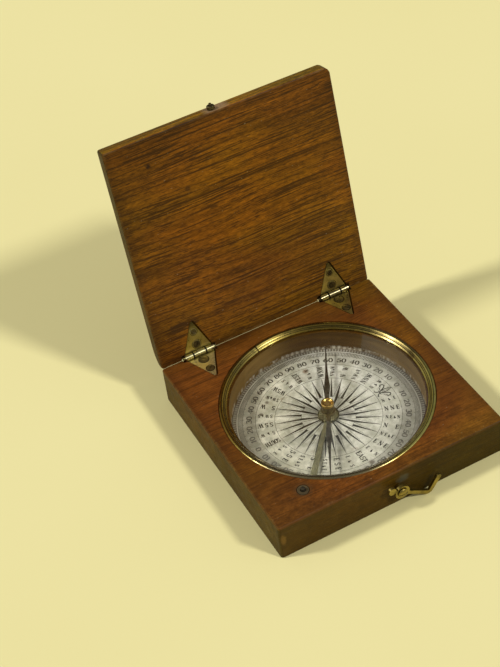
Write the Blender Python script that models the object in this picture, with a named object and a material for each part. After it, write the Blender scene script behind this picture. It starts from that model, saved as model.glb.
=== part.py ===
"""Square wooden pocket compass with a hinged lid, standing open on a table.

Metres, +Z up. The origin is the centre of the case's underside, X runs along the
hinge and Y runs towards it. The lid is modelled shut about the hinge axis and opened
by its parent empty. The hook, the lever and the needle hang on empties the same way.
"""

import math

import bmesh
import bpy

# Fits: the gap where a piece rests or is let in, and the gap round a pin.
SEAT_GAP = 0.0002
PIN_GAP = 0.00012

# Case block, bored from above
CASE_WALL = 0.0051
FLOOR_THICKNESS = 0.0035
CASE_CORNER = 0.0009
CASE_ARRIS = 0.0004

# Bowl, card, glass and the split ring that holds the glass
BOWL_X = -0.0006
BOWL_Y = -0.0009
BOWL_RADIUS = 0.0316
GLASS_LEDGE = 0.0033
CARD_THICKNESS = 0.0005
GLASS_THICKNESS = 0.00055
GLASS_EDGE = 0.00015
RING_HEIGHT = 0.0012
RING_PROUD = 0.0001
RING_BAND = 0.0010
RING_STEP = 0.0002
RING_ROUNDING = 0.00012
RING_LIP = 0.00015
RING_SETBACK = 0.00065
RING_SPLIT = 0.0005
RING_SPLIT_ANGLE = math.radians(104.4)

# Pivot: a brass post in the floor with a steel point
POST_RADIUS = 0.0009
POST_SOCKET = 0.0024
POST_RISE = 0.0006
POINT_RADIUS = 0.0004
POINT_TAPER = 0.0012
POINT_SET = 0.0026
TIP_GAP = 0.0002

# Needle, its turned cap and the hollow jewel inside the cap
NEEDLE_TIP_GAP = 0.0031
NEEDLE_THICKNESS = 0.0004
NEEDLE_WAIST = 0.0014
NEEDLE_BELLY = 0.0021
NEEDLE_BELLY_AT = 0.0095
NEEDLE_TIP = 0.0003
NEEDLE_HUB_RADIUS = 0.0025
NEEDLE_HEADING = math.radians(61.4)
CAP_RADIUS = 0.0021
CAP_DOME = 0.0011
CAP_RIM = 0.0004
CAP_NECK_RADIUS = 0.0019
CAP_NECK = 0.0019
CAP_TAIL_RADIUS = 0.0016
CAP_TAIL = 0.0019
CAP_BORE = 0.0010
CAP_CROWN = 0.0009
JEWEL_THICKNESS = 0.0009
JEWEL_DIMPLE_RADIUS = 0.0006
JEWEL_DIMPLE = 0.00055

# Needle lock: lever, fulcrum, lock pin and bush
LEVER_HEADING = math.radians(229.3)
LEVER_THICKNESS = 0.0008
LEVER_CLEARANCE = 0.0004
LEVER_RING_RADIUS = 0.0035
LEVER_RING_GAP = 0.0003
LEVER_CUP_HEIGHT = 0.0011
LEVER_CUP_RADIUS = 0.0023
LEVER_CUP_FOOT = 0.0033
LEVER_CUP_GAP = 0.0003
LEVER_NECK = 0.0013
LEVER_TAIL = 0.0024
LEVER_EYE_RADIUS = 0.0010
LEVER_EYE_LENGTH = 0.0018
LEVER_TO_CAP = 0.0003
NEEDLE_LIFT = 0.00095
LIFT_TO_GLASS = 0.00015
FULCRUM_SETBACK = 0.0013
FULCRUM_RADIUS = 0.0005
FULCRUM_BURIED = 0.0020
CHANNEL_WIDTH = 0.0040
CHANNEL_HEADROOM = 0.0006
PIN_OFFSET = 0.0044
PIN_RADIUS = 0.00075
PIN_FLANGE_RADIUS = 0.0013
PIN_FLANGE = 0.0007
PIN_TO_LID = 0.0001
BUSH_WALL = 0.0010
BUSH_LENGTH = 0.0030

# Lid
LID_TO_RING = 0.0009
LID_THICKNESS = 0.0047
LID_SIDE_INSET = 0.0002
LID_FRONT_INSET = 0.0005
LID_CORNER = 0.0020
LID_ARRIS = 0.0005
LID_BACK_ROUND = 0.0065
LID_BACK_EDGE = 0.0012
LID_OPEN = math.radians(102.2)

# Lozenge hinges
HINGE_SIDE_INSET = 0.0140
HINGE_BACK_INSET = 0.0004
BARREL_RADIUS = 0.00105
BARREL_LENGTH = 0.0107
MIDDLE_KNUCKLE = 0.0044
KNUCKLE_GAP = 0.0002
HINGE_PIN_RADIUS = 0.0005
HINGE_BEAD_RADIUS = 0.00075
HINGE_BEAD = 0.0006
LEAF_THICKNESS = 0.0007
LEAF_REACH = 0.0118
LEAF_APEX = 0.0006
LEAF_SHOULDER = 0.00015
LEAF_TO_AXIS = 0.0003
RECESS_SLACK = 0.0004
SCREW_LENGTH = 0.0034
SCREW_DOME = 0.00015
SCREW_SLOT = 0.0003
SCREW_SLOT_DEPTH = 0.00025
INNER_SCREW_AT = 0.0032
INNER_SCREW_HEAD = 0.00155
OUTER_SCREW_AT = 0.0081
OUTER_SCREW_HEAD = 0.00125
SCREW_SHANK = 0.00055

# Hook latch on the front and its stud on the lid
HOOK_PIVOT_X = 0.0013
HOOK_PIVOT_HEIGHT = 0.00685
HOOK_THICKNESS = 0.0010
HOOK_WIDTH = 0.0013
HOOK_ARM = 0.0071
HOOK_BEND = math.radians(88)
HOOK_ELBOW = 0.0011
HOOK_TIP_FLARE = 0.0003
HOOK_EYE_RADIUS = 0.0025
HOOK_NECK = 0.0010
HOOK_FINIAL_RADIUS = 0.0013
HOOK_FINIAL_AT = 0.0040
HOOK_OFF_TABLE = 0.00015
HOOK_TO_STUD = 0.0002
COLLAR_RADIUS = 0.0016
COLLAR_LENGTH = 0.0012
HOOK_SCREW_RADIUS = 0.0009
HOOK_SCREW_HEAD = 0.0017
HOOK_SCREW_DOME = 0.0008
HOOK_SCREW_DEPTH = 0.0060
STUD_X = -0.0016
STUD_FROM_FACE = 0.0019
STUD_RADIUS = 0.00045
STUD_SHOULDER_RADIUS = 0.00132
STUD_SHOULDER = 0.0014
STUD_RECESS_RADIUS = 0.0008
STUD_RECESS = 0.0005
STUD_LENGTH = 0.0022
STUD_DEPTH = 0.0050

# Facets round a full turn
LARGE_TURN = 96
SMALL_TURN = 20

# Plan sizes that follow from the ones above
REBATE_RADIUS = BOWL_RADIUS + GLASS_LEDGE
CASE_SIDE = 2 * (REBATE_RADIUS + CASE_WALL)
FRONT = -CASE_SIDE / 2
BACK = CASE_SIDE / 2
FULCRUM_AT = BOWL_RADIUS + FULCRUM_SETBACK
PIN_AT = REBATE_RADIUS + PIN_OFFSET
NEEDLE_REACH = BOWL_RADIUS - NEEDLE_TIP_GAP
LEVER_HOLE_RADIUS = POST_RADIUS + LEVER_RING_GAP

# Heights from the underside up
CARD_TOP = FLOOR_THICKNESS + SEAT_GAP + CARD_THICKNESS
LEVER_BOTTOM = CARD_TOP + LEVER_CLEARANCE
LEVER_TOP = LEVER_BOTTOM + LEVER_THICKNESS
LEVER_AXIS = (LEVER_BOTTOM + LEVER_TOP) / 2
CAP_BOTTOM = LEVER_TOP + LEVER_TO_CAP
CAP_SHOULDER = CAP_BOTTOM + CAP_TAIL
CAP_RIM_BOTTOM = CAP_SHOULDER + CAP_NECK
CAP_DOME_BOTTOM = CAP_RIM_BOTTOM + CAP_RIM
CAP_TOP = CAP_DOME_BOTTOM + CAP_DOME
NEEDLE_TOP = CAP_SHOULDER - SEAT_GAP
JEWEL_TOP = CAP_TOP - CAP_CROWN - SEAT_GAP
POINT_TIP = JEWEL_TOP - JEWEL_THICKNESS + JEWEL_DIMPLE - TIP_GAP
POST_TOP = LEVER_BOTTOM + POST_RISE
GLASS_BOTTOM = CAP_TOP + NEEDLE_LIFT + LIFT_TO_GLASS
GLASS_TOP = GLASS_BOTTOM + GLASS_THICKNESS
REBATE_FLOOR = GLASS_BOTTOM - SEAT_GAP
RING_BOTTOM = GLASS_TOP + SEAT_GAP
RING_TOP = RING_BOTTOM + RING_HEIGHT
CASE_TOP = RING_TOP - RING_PROUD
PIN_BOTTOM = LEVER_TOP + SEAT_GAP
CHANNEL_TOP = PIN_BOTTOM + PIN_FLANGE + CHANNEL_HEADROOM

# The lid shuts clear of the ring, and presses the pin by what the lever needs.
LID_GAP = RING_PROUD + LID_TO_RING
HINGE_RISE = LID_GAP / 2
HINGE_Y = BACK - HINGE_BACK_INSET
HINGE_Z = CASE_TOP + HINGE_RISE
PIN_TRAVEL = NEEDLE_LIFT * (PIN_AT - FULCRUM_AT) / FULCRUM_AT
PIN_TOP = CASE_TOP + LID_GAP - PIN_TO_LID + PIN_TRAVEL

# The hook's shank reaches over the stud when the lid is shut, and its elbow just
# clears the table when it hangs.
STUD_HEIGHT_SHUT = CASE_TOP + LID_GAP + STUD_FROM_FACE
HOOK_SHANK = STUD_HEIGHT_SHUT - HOOK_PIVOT_HEIGHT + STUD_RADIUS + HOOK_TO_STUD + HOOK_WIDTH / 2
HOOK_DROP = math.asin((HOOK_PIVOT_HEIGHT - HOOK_WIDTH / 2 - HOOK_OFF_TABLE) / HOOK_SHANK)
COLLAR_TOP = SEAT_GAP + COLLAR_LENGTH
HOOK_BACK = COLLAR_TOP + SEAT_GAP
HOOK_FRONT = HOOK_BACK + HOOK_THICKNESS

LONG_CUT = 0.1


def clear_scene():
    for old in list(bpy.data.objects):
        bpy.data.objects.remove(old)


def finish(name, colour, roughness, metallic=0.0, transmission=0.0):
    made = bpy.data.materials.new(name)
    made.use_nodes = True
    shader = made.node_tree.nodes["Principled BSDF"]
    shader.inputs["Base Color"].default_value = (*colour, 1.0)
    shader.inputs["Roughness"].default_value = roughness
    shader.inputs["Metallic"].default_value = metallic
    shader.inputs["Transmission Weight"].default_value = transmission
    return made


def pivot(name, place, turn=(0.0, 0.0, 0.0)):
    """An empty on a joint's axis, for the pieces that turn about it."""
    empty = bpy.data.objects.new(name, None)
    empty.location = place
    empty.rotation_euler = turn
    bpy.context.scene.collection.objects.link(empty)
    return empty


def piece(name, shape, look, parent=None, place=(0.0, 0.0, 0.0), turn=(0.0, 0.0, 0.0)):
    """A named object made from a bmesh, which is used up."""
    mesh = bpy.data.meshes.new(name)
    shape.to_mesh(mesh)
    shape.free()
    mesh.shade_smooth()
    mesh.set_sharp_from_angle(angle=math.radians(35))
    made = bpy.data.objects.new(name, mesh)
    made.parent = parent
    made.location = place
    made.rotation_euler = turn
    if look:
        mesh.materials.append(look)
    bpy.context.scene.collection.objects.link(made)
    return made


def tool(shape, parent=None, place=(0.0, 0.0, 0.0), turn=(0.0, 0.0, 0.0)):
    """A hidden object that cuts or joins another."""
    made = piece("tool", shape, None, parent, place, turn)
    made.hide_render = True
    made.display_type = "WIRE"
    return made


def combine(target, other, operation):
    change = target.modifiers.new(operation.lower(), "BOOLEAN")
    change.operation = operation
    change.solver = "EXACT"
    change.object = other


def cut(target, *others):
    for other in others:
        combine(target, other, "DIFFERENCE")


def join(target, *others):
    for other in others:
        combine(target, other, "UNION")


def arc(centre_x, centre_y, radius, start, end, steps):
    """Points on an arc from angle start to angle end, both ends included."""
    points = []
    for step in range(steps + 1):
        angle = start + (end - start) * step / steps
        points.append((centre_x + radius * math.cos(angle), centre_y + radius * math.sin(angle)))
    return points


def prism(outline, low, high):
    """A closed prism over an outline in X and Y, from height low to height high."""
    shape = bmesh.new()
    floor = shape.faces.new([shape.verts.new((x, y, low)) for x, y in outline])
    raised = bmesh.ops.extrude_face_region(shape, geom=[floor])["geom"]
    corners = [item for item in raised if isinstance(item, bmesh.types.BMVert)]
    bmesh.ops.translate(shape, verts=corners, vec=(0.0, 0.0, high - low))
    bmesh.ops.recalc_face_normals(shape, faces=shape.faces)
    return shape


def turned(profile, steps, start=0.0, sweep=math.tau):
    """A solid turned about Z from a closed outline of (radius, height) points."""
    shape = bmesh.new()
    whole = sweep == math.tau
    on_axis = {}
    rings = []
    for step in range(steps if whole else steps + 1):
        angle = start + sweep * step / steps
        ring = []
        for radius, height in profile:
            if radius > 0:
                ring.append(shape.verts.new((radius * math.cos(angle), radius * math.sin(angle), height)))
                continue
            if height not in on_axis:
                on_axis[height] = shape.verts.new((0.0, 0.0, height))
            ring.append(on_axis[height])
        rings.append(ring)
    following = rings[1:] + rings[:1] if whole else rings[1:]
    for ring, after in zip(rings, following):
        for index in range(len(profile)):
            corners = [ring[index - 1], ring[index], after[index], after[index - 1]]
            corners = list(dict.fromkeys(corners))
            if len(corners) > 2:
                shape.faces.new(corners)
    if not whole:
        shape.faces.new(rings[0])
        shape.faces.new(rings[-1])
    bmesh.ops.recalc_face_normals(shape, faces=shape.faces)
    return shape


def rod(radius, low, high, steps=SMALL_TURN):
    return turned([(0.0, low), (radius, low), (radius, high), (0.0, high)], steps)


def tube(inner, outer, low, high, steps=SMALL_TURN):
    return turned([(inner, low), (outer, low), (outer, high), (inner, high)], steps)


def rectangle(low_x, high_x, low_y, high_y):
    return [(low_x, low_y), (high_x, low_y), (high_x, high_y), (low_x, high_y)]


def soften(shape, edges, width, segments):
    bmesh.ops.bevel(
        shape, geom=edges, offset=width, segments=segments, profile=0.5, affect="EDGES", clamp_overlap=True
    )


def sharp_edges(shape, least=math.radians(50)):
    return [edge for edge in shape.edges if edge.calc_face_angle(0.0) > least]


def edges_along(shape, axis):
    """The edges that run along axis 0, 1 or 2."""
    found = []
    for edge in shape.edges:
        run = edge.verts[1].co - edge.verts[0].co
        if abs(run[axis]) > 0.99 * run.length:
            found.append(edge)
    return found


def dome(radius, low, rise, steps=3):
    """The (radius, height) points of a low dome, from its rim to its top."""
    points = []
    for step in range(steps + 1):
        angle = math.pi / 2 * step / steps
        points.append((radius * math.cos(angle) if step < steps else 0.0, low + rise * math.sin(angle)))
    return points


def slot(width, depth, top):
    """The cutter of a screw slot whose floor lies depth under top."""
    reach = HOOK_SCREW_HEAD * 2
    return prism(rectangle(-reach, reach, -width / 2, width / 2), top - depth, top + depth * 4)


def along_x(angle=0.0):
    """The turn that lays a solid turned about Z along X."""
    return (angle, math.pi / 2, 0.0)


OUT_OF_FRONT = (math.pi / 2, 0.0, 0.0)


def build_case(wood, hinge_axis):
    """The case block, with everything that is let into it cut out."""
    block = prism(rectangle(-CASE_SIDE / 2, CASE_SIDE / 2, FRONT, BACK), 0.0, CASE_TOP)
    soften(block, edges_along(block, 2), CASE_CORNER, 3)
    soften(block, sharp_edges(block), CASE_ARRIS, 2)
    case = piece("case_base", block, wood)
    bowl_place = (BOWL_X, BOWL_Y, 0.0)
    cut(case, tool(rod(BOWL_RADIUS, FLOOR_THICKNESS, LONG_CUT, LARGE_TURN), place=bowl_place))
    cut(case, tool(rod(REBATE_RADIUS, REBATE_FLOOR, LONG_CUT, LARGE_TURN), place=bowl_place))

    lever_turn = (0.0, 0.0, LEVER_HEADING)
    channel_end = PIN_AT + PIN_FLANGE_RADIUS + 2 * SEAT_GAP
    half = CHANNEL_WIDTH / 2
    channel_floor = FLOOR_THICKNESS + SEAT_GAP
    channel = prism(rectangle(BOWL_RADIUS / 2, channel_end, -half, half), channel_floor, CHANNEL_TOP)
    cut(case, tool(channel, place=bowl_place, turn=lever_turn))
    pin_x, pin_y = pin_place()
    shaft_hole = rod(PIN_RADIUS + SEAT_GAP, CHANNEL_TOP - SEAT_GAP, LONG_CUT)
    cut(case, tool(shaft_hole, place=(pin_x, pin_y, 0.0)))
    bush_bore = rod(bush_radius() + SEAT_GAP, CASE_TOP - BUSH_LENGTH - SEAT_GAP, LONG_CUT)
    cut(case, tool(bush_bore, place=(pin_x, pin_y, 0.0)))
    fulcrum_half = CHANNEL_WIDTH / 2 + FULCRUM_BURIED + SEAT_GAP
    fulcrum_bore = rod(FULCRUM_RADIUS + PIN_GAP, -fulcrum_half, fulcrum_half)
    cut(case, tool(fulcrum_bore, place=fulcrum_place(), turn=fulcrum_turn()))

    hook_hole = rod(HOOK_SCREW_RADIUS + PIN_GAP, -HOOK_SCREW_DEPTH - SEAT_GAP, LONG_CUT)
    cut(case, tool(hook_hole, place=(HOOK_PIVOT_X, FRONT, HOOK_PIVOT_HEIGHT), turn=OUT_OF_FRONT))
    for side in (-1, 1):
        let_in_hinge(case, side, hinge_axis, -1)
    socket = rod(POST_RADIUS + SEAT_GAP, FLOOR_THICKNESS - POST_SOCKET, CASE_TOP)
    cut(case, tool(socket, place=bowl_place))


def pin_place():
    return (
        BOWL_X + PIN_AT * math.cos(LEVER_HEADING),
        BOWL_Y + PIN_AT * math.sin(LEVER_HEADING),
    )


def fulcrum_place():
    return (
        BOWL_X + FULCRUM_AT * math.cos(LEVER_HEADING),
        BOWL_Y + FULCRUM_AT * math.sin(LEVER_HEADING),
        LEVER_AXIS,
    )


def fulcrum_turn():
    """Lays a solid turned about Z across the lever."""
    return (math.pi / 2, 0.0, LEVER_HEADING)


def bush_radius():
    return PIN_RADIUS + PIN_GAP + BUSH_WALL


def hinge_x(side):
    return side * (CASE_SIDE / 2 - HINGE_SIDE_INSET)


def leaf_outline(side, margin, slack=0.0):
    """The triangle of a leaf, point towards the middle of the board, grown by margin.

    A slack widens it on its +X side only, as the leaves' recesses are cut too wide there.
    """
    middle = hinge_x(side)
    half = BARREL_LENGTH / 2 - LEAF_SHOULDER + margin
    tip = LEAF_APEX / 2 + margin
    near = margin - LEAF_TO_AXIS
    far = -LEAF_REACH - margin
    right = middle + slack
    return [(middle - half, near), (middle - tip, far), (right + tip, far), (right + half, near)]


def screws_of_leaf():
    return (("inner", INNER_SCREW_AT, INNER_SCREW_HEAD), ("outer", OUTER_SCREW_AT, OUTER_SCREW_HEAD))


def let_in_hinge(board, side, axis, facing):
    """Cuts a leaf's recess, its barrel's groove and its screw holes into a board.

    facing is -1 for the case, under the hinge axis, and 1 for the lid, above it.
    """
    face = facing * HINGE_RISE
    depth = LEAF_THICKNESS + SEAT_GAP
    over = HINGE_RISE * facing / 2
    low, high = sorted((face + facing * depth, over))
    cut(board, tool(prism(leaf_outline(side, SEAT_GAP, RECESS_SLACK), low, high), axis))
    half = BARREL_LENGTH / 2 + HINGE_BEAD + 2 * SEAT_GAP
    groove = rod(BARREL_RADIUS + SEAT_GAP, -half, half)
    cut(board, tool(groove, axis, (hinge_x(side), 0.0, 0.0), along_x()))
    for _, distance, _ in screws_of_leaf():
        low, high = sorted((face + facing * (SCREW_LENGTH + SEAT_GAP), over))
        hole = rod(SCREW_SHANK + SEAT_GAP, low, high)
        cut(board, tool(hole, axis, (hinge_x(side), -distance, 0.0)))


def screw_profile(head, grow, over):
    """A countersunk screw, point down, with its head's rim at height 0 and its cone run on by over."""
    taper = head - SCREW_SHANK
    return [
        (0.0, -SCREW_LENGTH),
        (SCREW_SHANK + grow, -SCREW_LENGTH),
        (SCREW_SHANK + grow, -taper),
        (head + grow + over, over),
    ]


def build_leaf(name, side, axis, facing, brass):
    """One leaf of a lozenge hinge, with its own knuckles and countersunk holes."""
    face = facing * HINGE_RISE
    low, high = sorted((face, face + facing * LEAF_THICKNESS))
    leaf = piece(name, prism(leaf_outline(side, 0.0), low, high), brass, axis)
    flip = (0.0, 0.0, 0.0) if facing < 0 else (math.pi, 0.0, 0.0)
    for _, distance, head in screws_of_leaf():
        sink = screw_profile(head, PIN_GAP, LEAF_THICKNESS) + [(0.0, LEAF_THICKNESS)]
        cut(leaf, tool(turned(sink, SMALL_TURN), axis, (hinge_x(side), -distance, face), flip))
    middle = (hinge_x(side), 0.0, 0.0)
    half = BARREL_LENGTH / 2
    join(leaf, tool(rod(BARREL_RADIUS, -half, half), axis, middle, along_x()))
    swept = BARREL_RADIUS + KNUCKLE_GAP
    past_end = half + KNUCKLE_GAP
    inner_half = MIDDLE_KNUCKLE / 2
    if facing < 0:
        spans = [(-inner_half - KNUCKLE_GAP, inner_half + KNUCKLE_GAP)]
    else:
        spans = [(-past_end, -inner_half), (inner_half, past_end)]
    for start, end in spans:
        cut(leaf, tool(rod(swept, start, end), axis, middle, along_x()))
    cut(leaf, tool(rod(HINGE_PIN_RADIUS + PIN_GAP, -past_end, past_end), axis, middle, along_x()))


def build_leaf_screws(board_name, side, side_name, axis, facing, brass):
    face = facing * HINGE_RISE
    for place_name, distance, head in screws_of_leaf():
        profile = screw_profile(head, 0.0, 0.0) + dome(head, SCREW_DOME / 2, SCREW_DOME / 2)
        turn = (0.0, 0.0, side * distance / SCREW_LENGTH)
        if facing > 0:
            turn = (math.pi, 0.0, side * distance / SCREW_LENGTH)
        place = (hinge_x(side), -distance, face)
        name = f"{board_name}_screw_{side_name}_{place_name}"
        screw = piece(name, turned(profile, SMALL_TURN), brass, axis, place, turn)
        cut(screw, tool(slot(SCREW_SLOT, SCREW_SLOT_DEPTH, SCREW_DOME), axis, place, turn))


def build_hinge_pin(name, side, axis, brass):
    """The pin through the knuckles, with a turned bead at each end."""
    seat = BARREL_LENGTH / 2 + SEAT_GAP
    ends = arc(seat + HINGE_BEAD / 2, 0.0, HINGE_BEAD / 2, math.pi, 0.0, 4)
    profile = [(0.0, -seat - HINGE_BEAD)]
    for along, swell in reversed(ends[1:-1]):
        profile.append((HINGE_PIN_RADIUS + swell * bead_swell(), -along))
    profile += [(HINGE_PIN_RADIUS, -seat), (HINGE_PIN_RADIUS, seat)]
    for along, swell in ends[1:-1]:
        profile.append((HINGE_PIN_RADIUS + swell * bead_swell(), along))
    profile.append((0.0, seat + HINGE_BEAD))
    return piece(name, turned(profile, SMALL_TURN), brass, axis, (hinge_x(side), 0.0, 0.0), along_x())


def bead_swell():
    """How much a bead widens for each unit of its half-round outline."""
    return (HINGE_BEAD_RADIUS - HINGE_PIN_RADIUS) / (HINGE_BEAD / 2)


def build_lid(wood, lid_axis):
    """The lid board, shut, about the hinge axis, with its back edge rounded off outside."""
    front = FRONT + LID_FRONT_INSET - HINGE_Y
    back = BACK - HINGE_Y
    inside = HINGE_RISE
    outside = HINGE_RISE + LID_THICKNESS
    drop = LID_THICKNESS - LID_BACK_EDGE
    outline = [(front, inside), (front, outside)]
    steps = 8
    for step in range(steps + 1):
        angle = math.pi / 2 * step / steps
        along = back - LID_BACK_ROUND + LID_BACK_ROUND * math.sin(angle)
        outline.append((along, outside - drop + drop * math.cos(angle)))
    outline.append((back, inside))
    half = CASE_SIDE / 2 - LID_SIDE_INSET
    board = prism(outline, -half, half)
    for corner in board.verts:
        corner.co = (corner.co.z, corner.co.x, corner.co.y)
    bmesh.ops.recalc_face_normals(board, faces=board.faces)

    def at_foot(edge):
        """True for the inner edge along the hinges, which stays sharp to close the gap there."""
        return all(end.co.y > back - SEAT_GAP and end.co.z < inside + SEAT_GAP for end in edge.verts)

    upright = [edge for edge in edges_along(board, 2) if edge.verts[0].co.y < front / 2]
    soften(board, upright, LID_CORNER, 5)
    soften(board, [edge for edge in sharp_edges(board) if not at_foot(edge)], LID_ARRIS, 2)
    lid = piece("lid_board", board, wood, lid_axis)
    for side in (-1, 1):
        let_in_hinge(lid, side, lid_axis, 1)
    stud_hole = rod(STUD_RADIUS + PIN_GAP, -STUD_DEPTH - SEAT_GAP, LONG_CUT)
    cut(lid, tool(stud_hole, lid_axis, (STUD_X, front, inside + STUD_FROM_FACE), OUT_OF_FRONT))
    return lid


def build_stud(brass, lid_axis):
    """The catch stud in the lid's front edge: a pin in a dished shoulder."""
    tip = STUD_LENGTH - STUD_RADIUS / 2
    profile = [
        (0.0, -STUD_DEPTH),
        (STUD_RADIUS, -STUD_DEPTH),
        (STUD_RADIUS, SEAT_GAP),
        (STUD_SHOULDER_RADIUS, SEAT_GAP),
        (STUD_SHOULDER_RADIUS, STUD_SHOULDER - SEAT_GAP),
        (STUD_SHOULDER_RADIUS - SEAT_GAP, STUD_SHOULDER),
        (STUD_RECESS_RADIUS, STUD_SHOULDER),
        (STUD_RECESS_RADIUS, STUD_SHOULDER - STUD_RECESS),
        (STUD_RADIUS, STUD_SHOULDER - STUD_RECESS),
    ]
    profile += dome(STUD_RADIUS, tip, STUD_LENGTH - tip)
    front = FRONT + LID_FRONT_INSET - HINGE_Y
    place = (STUD_X, front, HINGE_RISE + STUD_FROM_FACE)
    piece("catch_stud", turned(profile, SMALL_TURN), brass, lid_axis, place, OUT_OF_FRONT)


def build_compass(brass, paper, steel, glass):
    """Card, pivot, glass and split ring in the bowl."""
    place = (BOWL_X, BOWL_Y, 0.0)
    card = tube(LEVER_HOLE_RADIUS, BOWL_RADIUS - SEAT_GAP, CARD_TOP - CARD_THICKNESS, CARD_TOP, LARGE_TURN)
    piece("dial_card", card, paper, place=place)

    point_bottom = POST_TOP - POINT_SET
    bore = POINT_RADIUS + PIN_GAP
    post_bottom = FLOOR_THICKNESS - POST_SOCKET + SEAT_GAP
    post = [
        (0.0, post_bottom),
        (POST_RADIUS, post_bottom),
        (POST_RADIUS, POST_TOP - SEAT_GAP),
        (POST_RADIUS - SEAT_GAP, POST_TOP),
        (bore, POST_TOP),
        (bore, point_bottom - PIN_GAP),
        (0.0, point_bottom - PIN_GAP),
    ]
    piece("pivot_post", turned(post, SMALL_TURN), brass, place=place)
    point = [
        (0.0, point_bottom),
        (POINT_RADIUS, point_bottom),
        (POINT_RADIUS, POINT_TIP - POINT_TAPER),
        (0.0, POINT_TIP),
    ]
    piece("pivot_point", turned(point, SMALL_TURN), steel, place=place)

    pane_radius = REBATE_RADIUS - SEAT_GAP
    pane = [
        (0.0, GLASS_BOTTOM),
        (pane_radius - GLASS_EDGE, GLASS_BOTTOM),
        (pane_radius, GLASS_BOTTOM + GLASS_EDGE),
        (pane_radius, GLASS_TOP - GLASS_EDGE),
        (pane_radius - GLASS_EDGE, GLASS_TOP),
        (0.0, GLASS_TOP),
    ]
    piece("glass", turned(pane, LARGE_TURN), glass, place=place)

    inner = BOWL_RADIUS + RING_SETBACK
    outer = REBATE_RADIUS - SEAT_GAP
    band = outer - RING_BAND
    ring = [
        (inner, RING_BOTTOM),
        (outer, RING_BOTTOM),
        (outer, RING_TOP - RING_ROUNDING),
        (outer - RING_ROUNDING, RING_TOP),
        (band + RING_ROUNDING, RING_TOP),
        (band, RING_TOP - RING_ROUNDING),
        (band, RING_TOP - RING_STEP),
        (inner, RING_BOTTOM + RING_LIP),
    ]
    open_angle = RING_SPLIT / outer
    start = RING_SPLIT_ANGLE + open_angle / 2
    split = turned(ring, LARGE_TURN, start, math.tau - open_angle)
    piece("bezel_ring", split, brass, place=place)


def build_needle(blue_steel, brass, jewel_stone, needle_axis):
    """Needle, cap and jewel, along the local X axis, about the pivot."""
    half_waist = NEEDLE_WAIST / 2
    half_belly = NEEDLE_BELLY / 2
    half_tip = NEEDLE_TIP / 2
    side_angle = math.asin(half_waist / NEEDLE_HUB_RADIUS)
    outline = []
    for turn in (0.0, math.pi):
        facing = math.cos(turn)
        arm = [
            (NEEDLE_BELLY_AT, -half_belly),
            (NEEDLE_REACH, -half_tip),
            (NEEDLE_REACH, half_tip),
            (NEEDLE_BELLY_AT, half_belly),
        ]
        outline += [(facing * x, facing * y) for x, y in arm]
        outline += arc(0.0, 0.0, NEEDLE_HUB_RADIUS, turn + side_angle, turn + math.pi - side_angle, 8)
    blade = prism(outline, NEEDLE_TOP - NEEDLE_THICKNESS, NEEDLE_TOP)
    needle = piece("needle", blade, blue_steel, needle_axis)
    cut(needle, tool(rod(CAP_TAIL_RADIUS + PIN_GAP, CAP_BOTTOM, CAP_TOP), needle_axis))

    bore_top = CAP_TOP - CAP_CROWN
    cap = [
        (0.0, bore_top),
        (CAP_BORE, bore_top),
        (CAP_BORE, CAP_BOTTOM),
        (CAP_TAIL_RADIUS, CAP_BOTTOM),
        (CAP_TAIL_RADIUS, CAP_SHOULDER),
        (CAP_NECK_RADIUS, CAP_SHOULDER),
        (CAP_NECK_RADIUS, CAP_RIM_BOTTOM),
        (CAP_RADIUS, CAP_RIM_BOTTOM),
    ]
    cap += dome(CAP_RADIUS, CAP_DOME_BOTTOM, CAP_DOME, 5)
    piece("needle_cap", turned(cap, SMALL_TURN), brass, needle_axis)

    bottom = JEWEL_TOP - JEWEL_THICKNESS
    radius = CAP_BORE - PIN_GAP
    jewel = [
        (0.0, bottom + JEWEL_DIMPLE),
        (JEWEL_DIMPLE_RADIUS, bottom),
        (radius, bottom),
        (radius, JEWEL_TOP),
        (0.0, JEWEL_TOP),
    ]
    piece("cap_jewel", turned(jewel, SMALL_TURN), jewel_stone, needle_axis)


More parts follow.
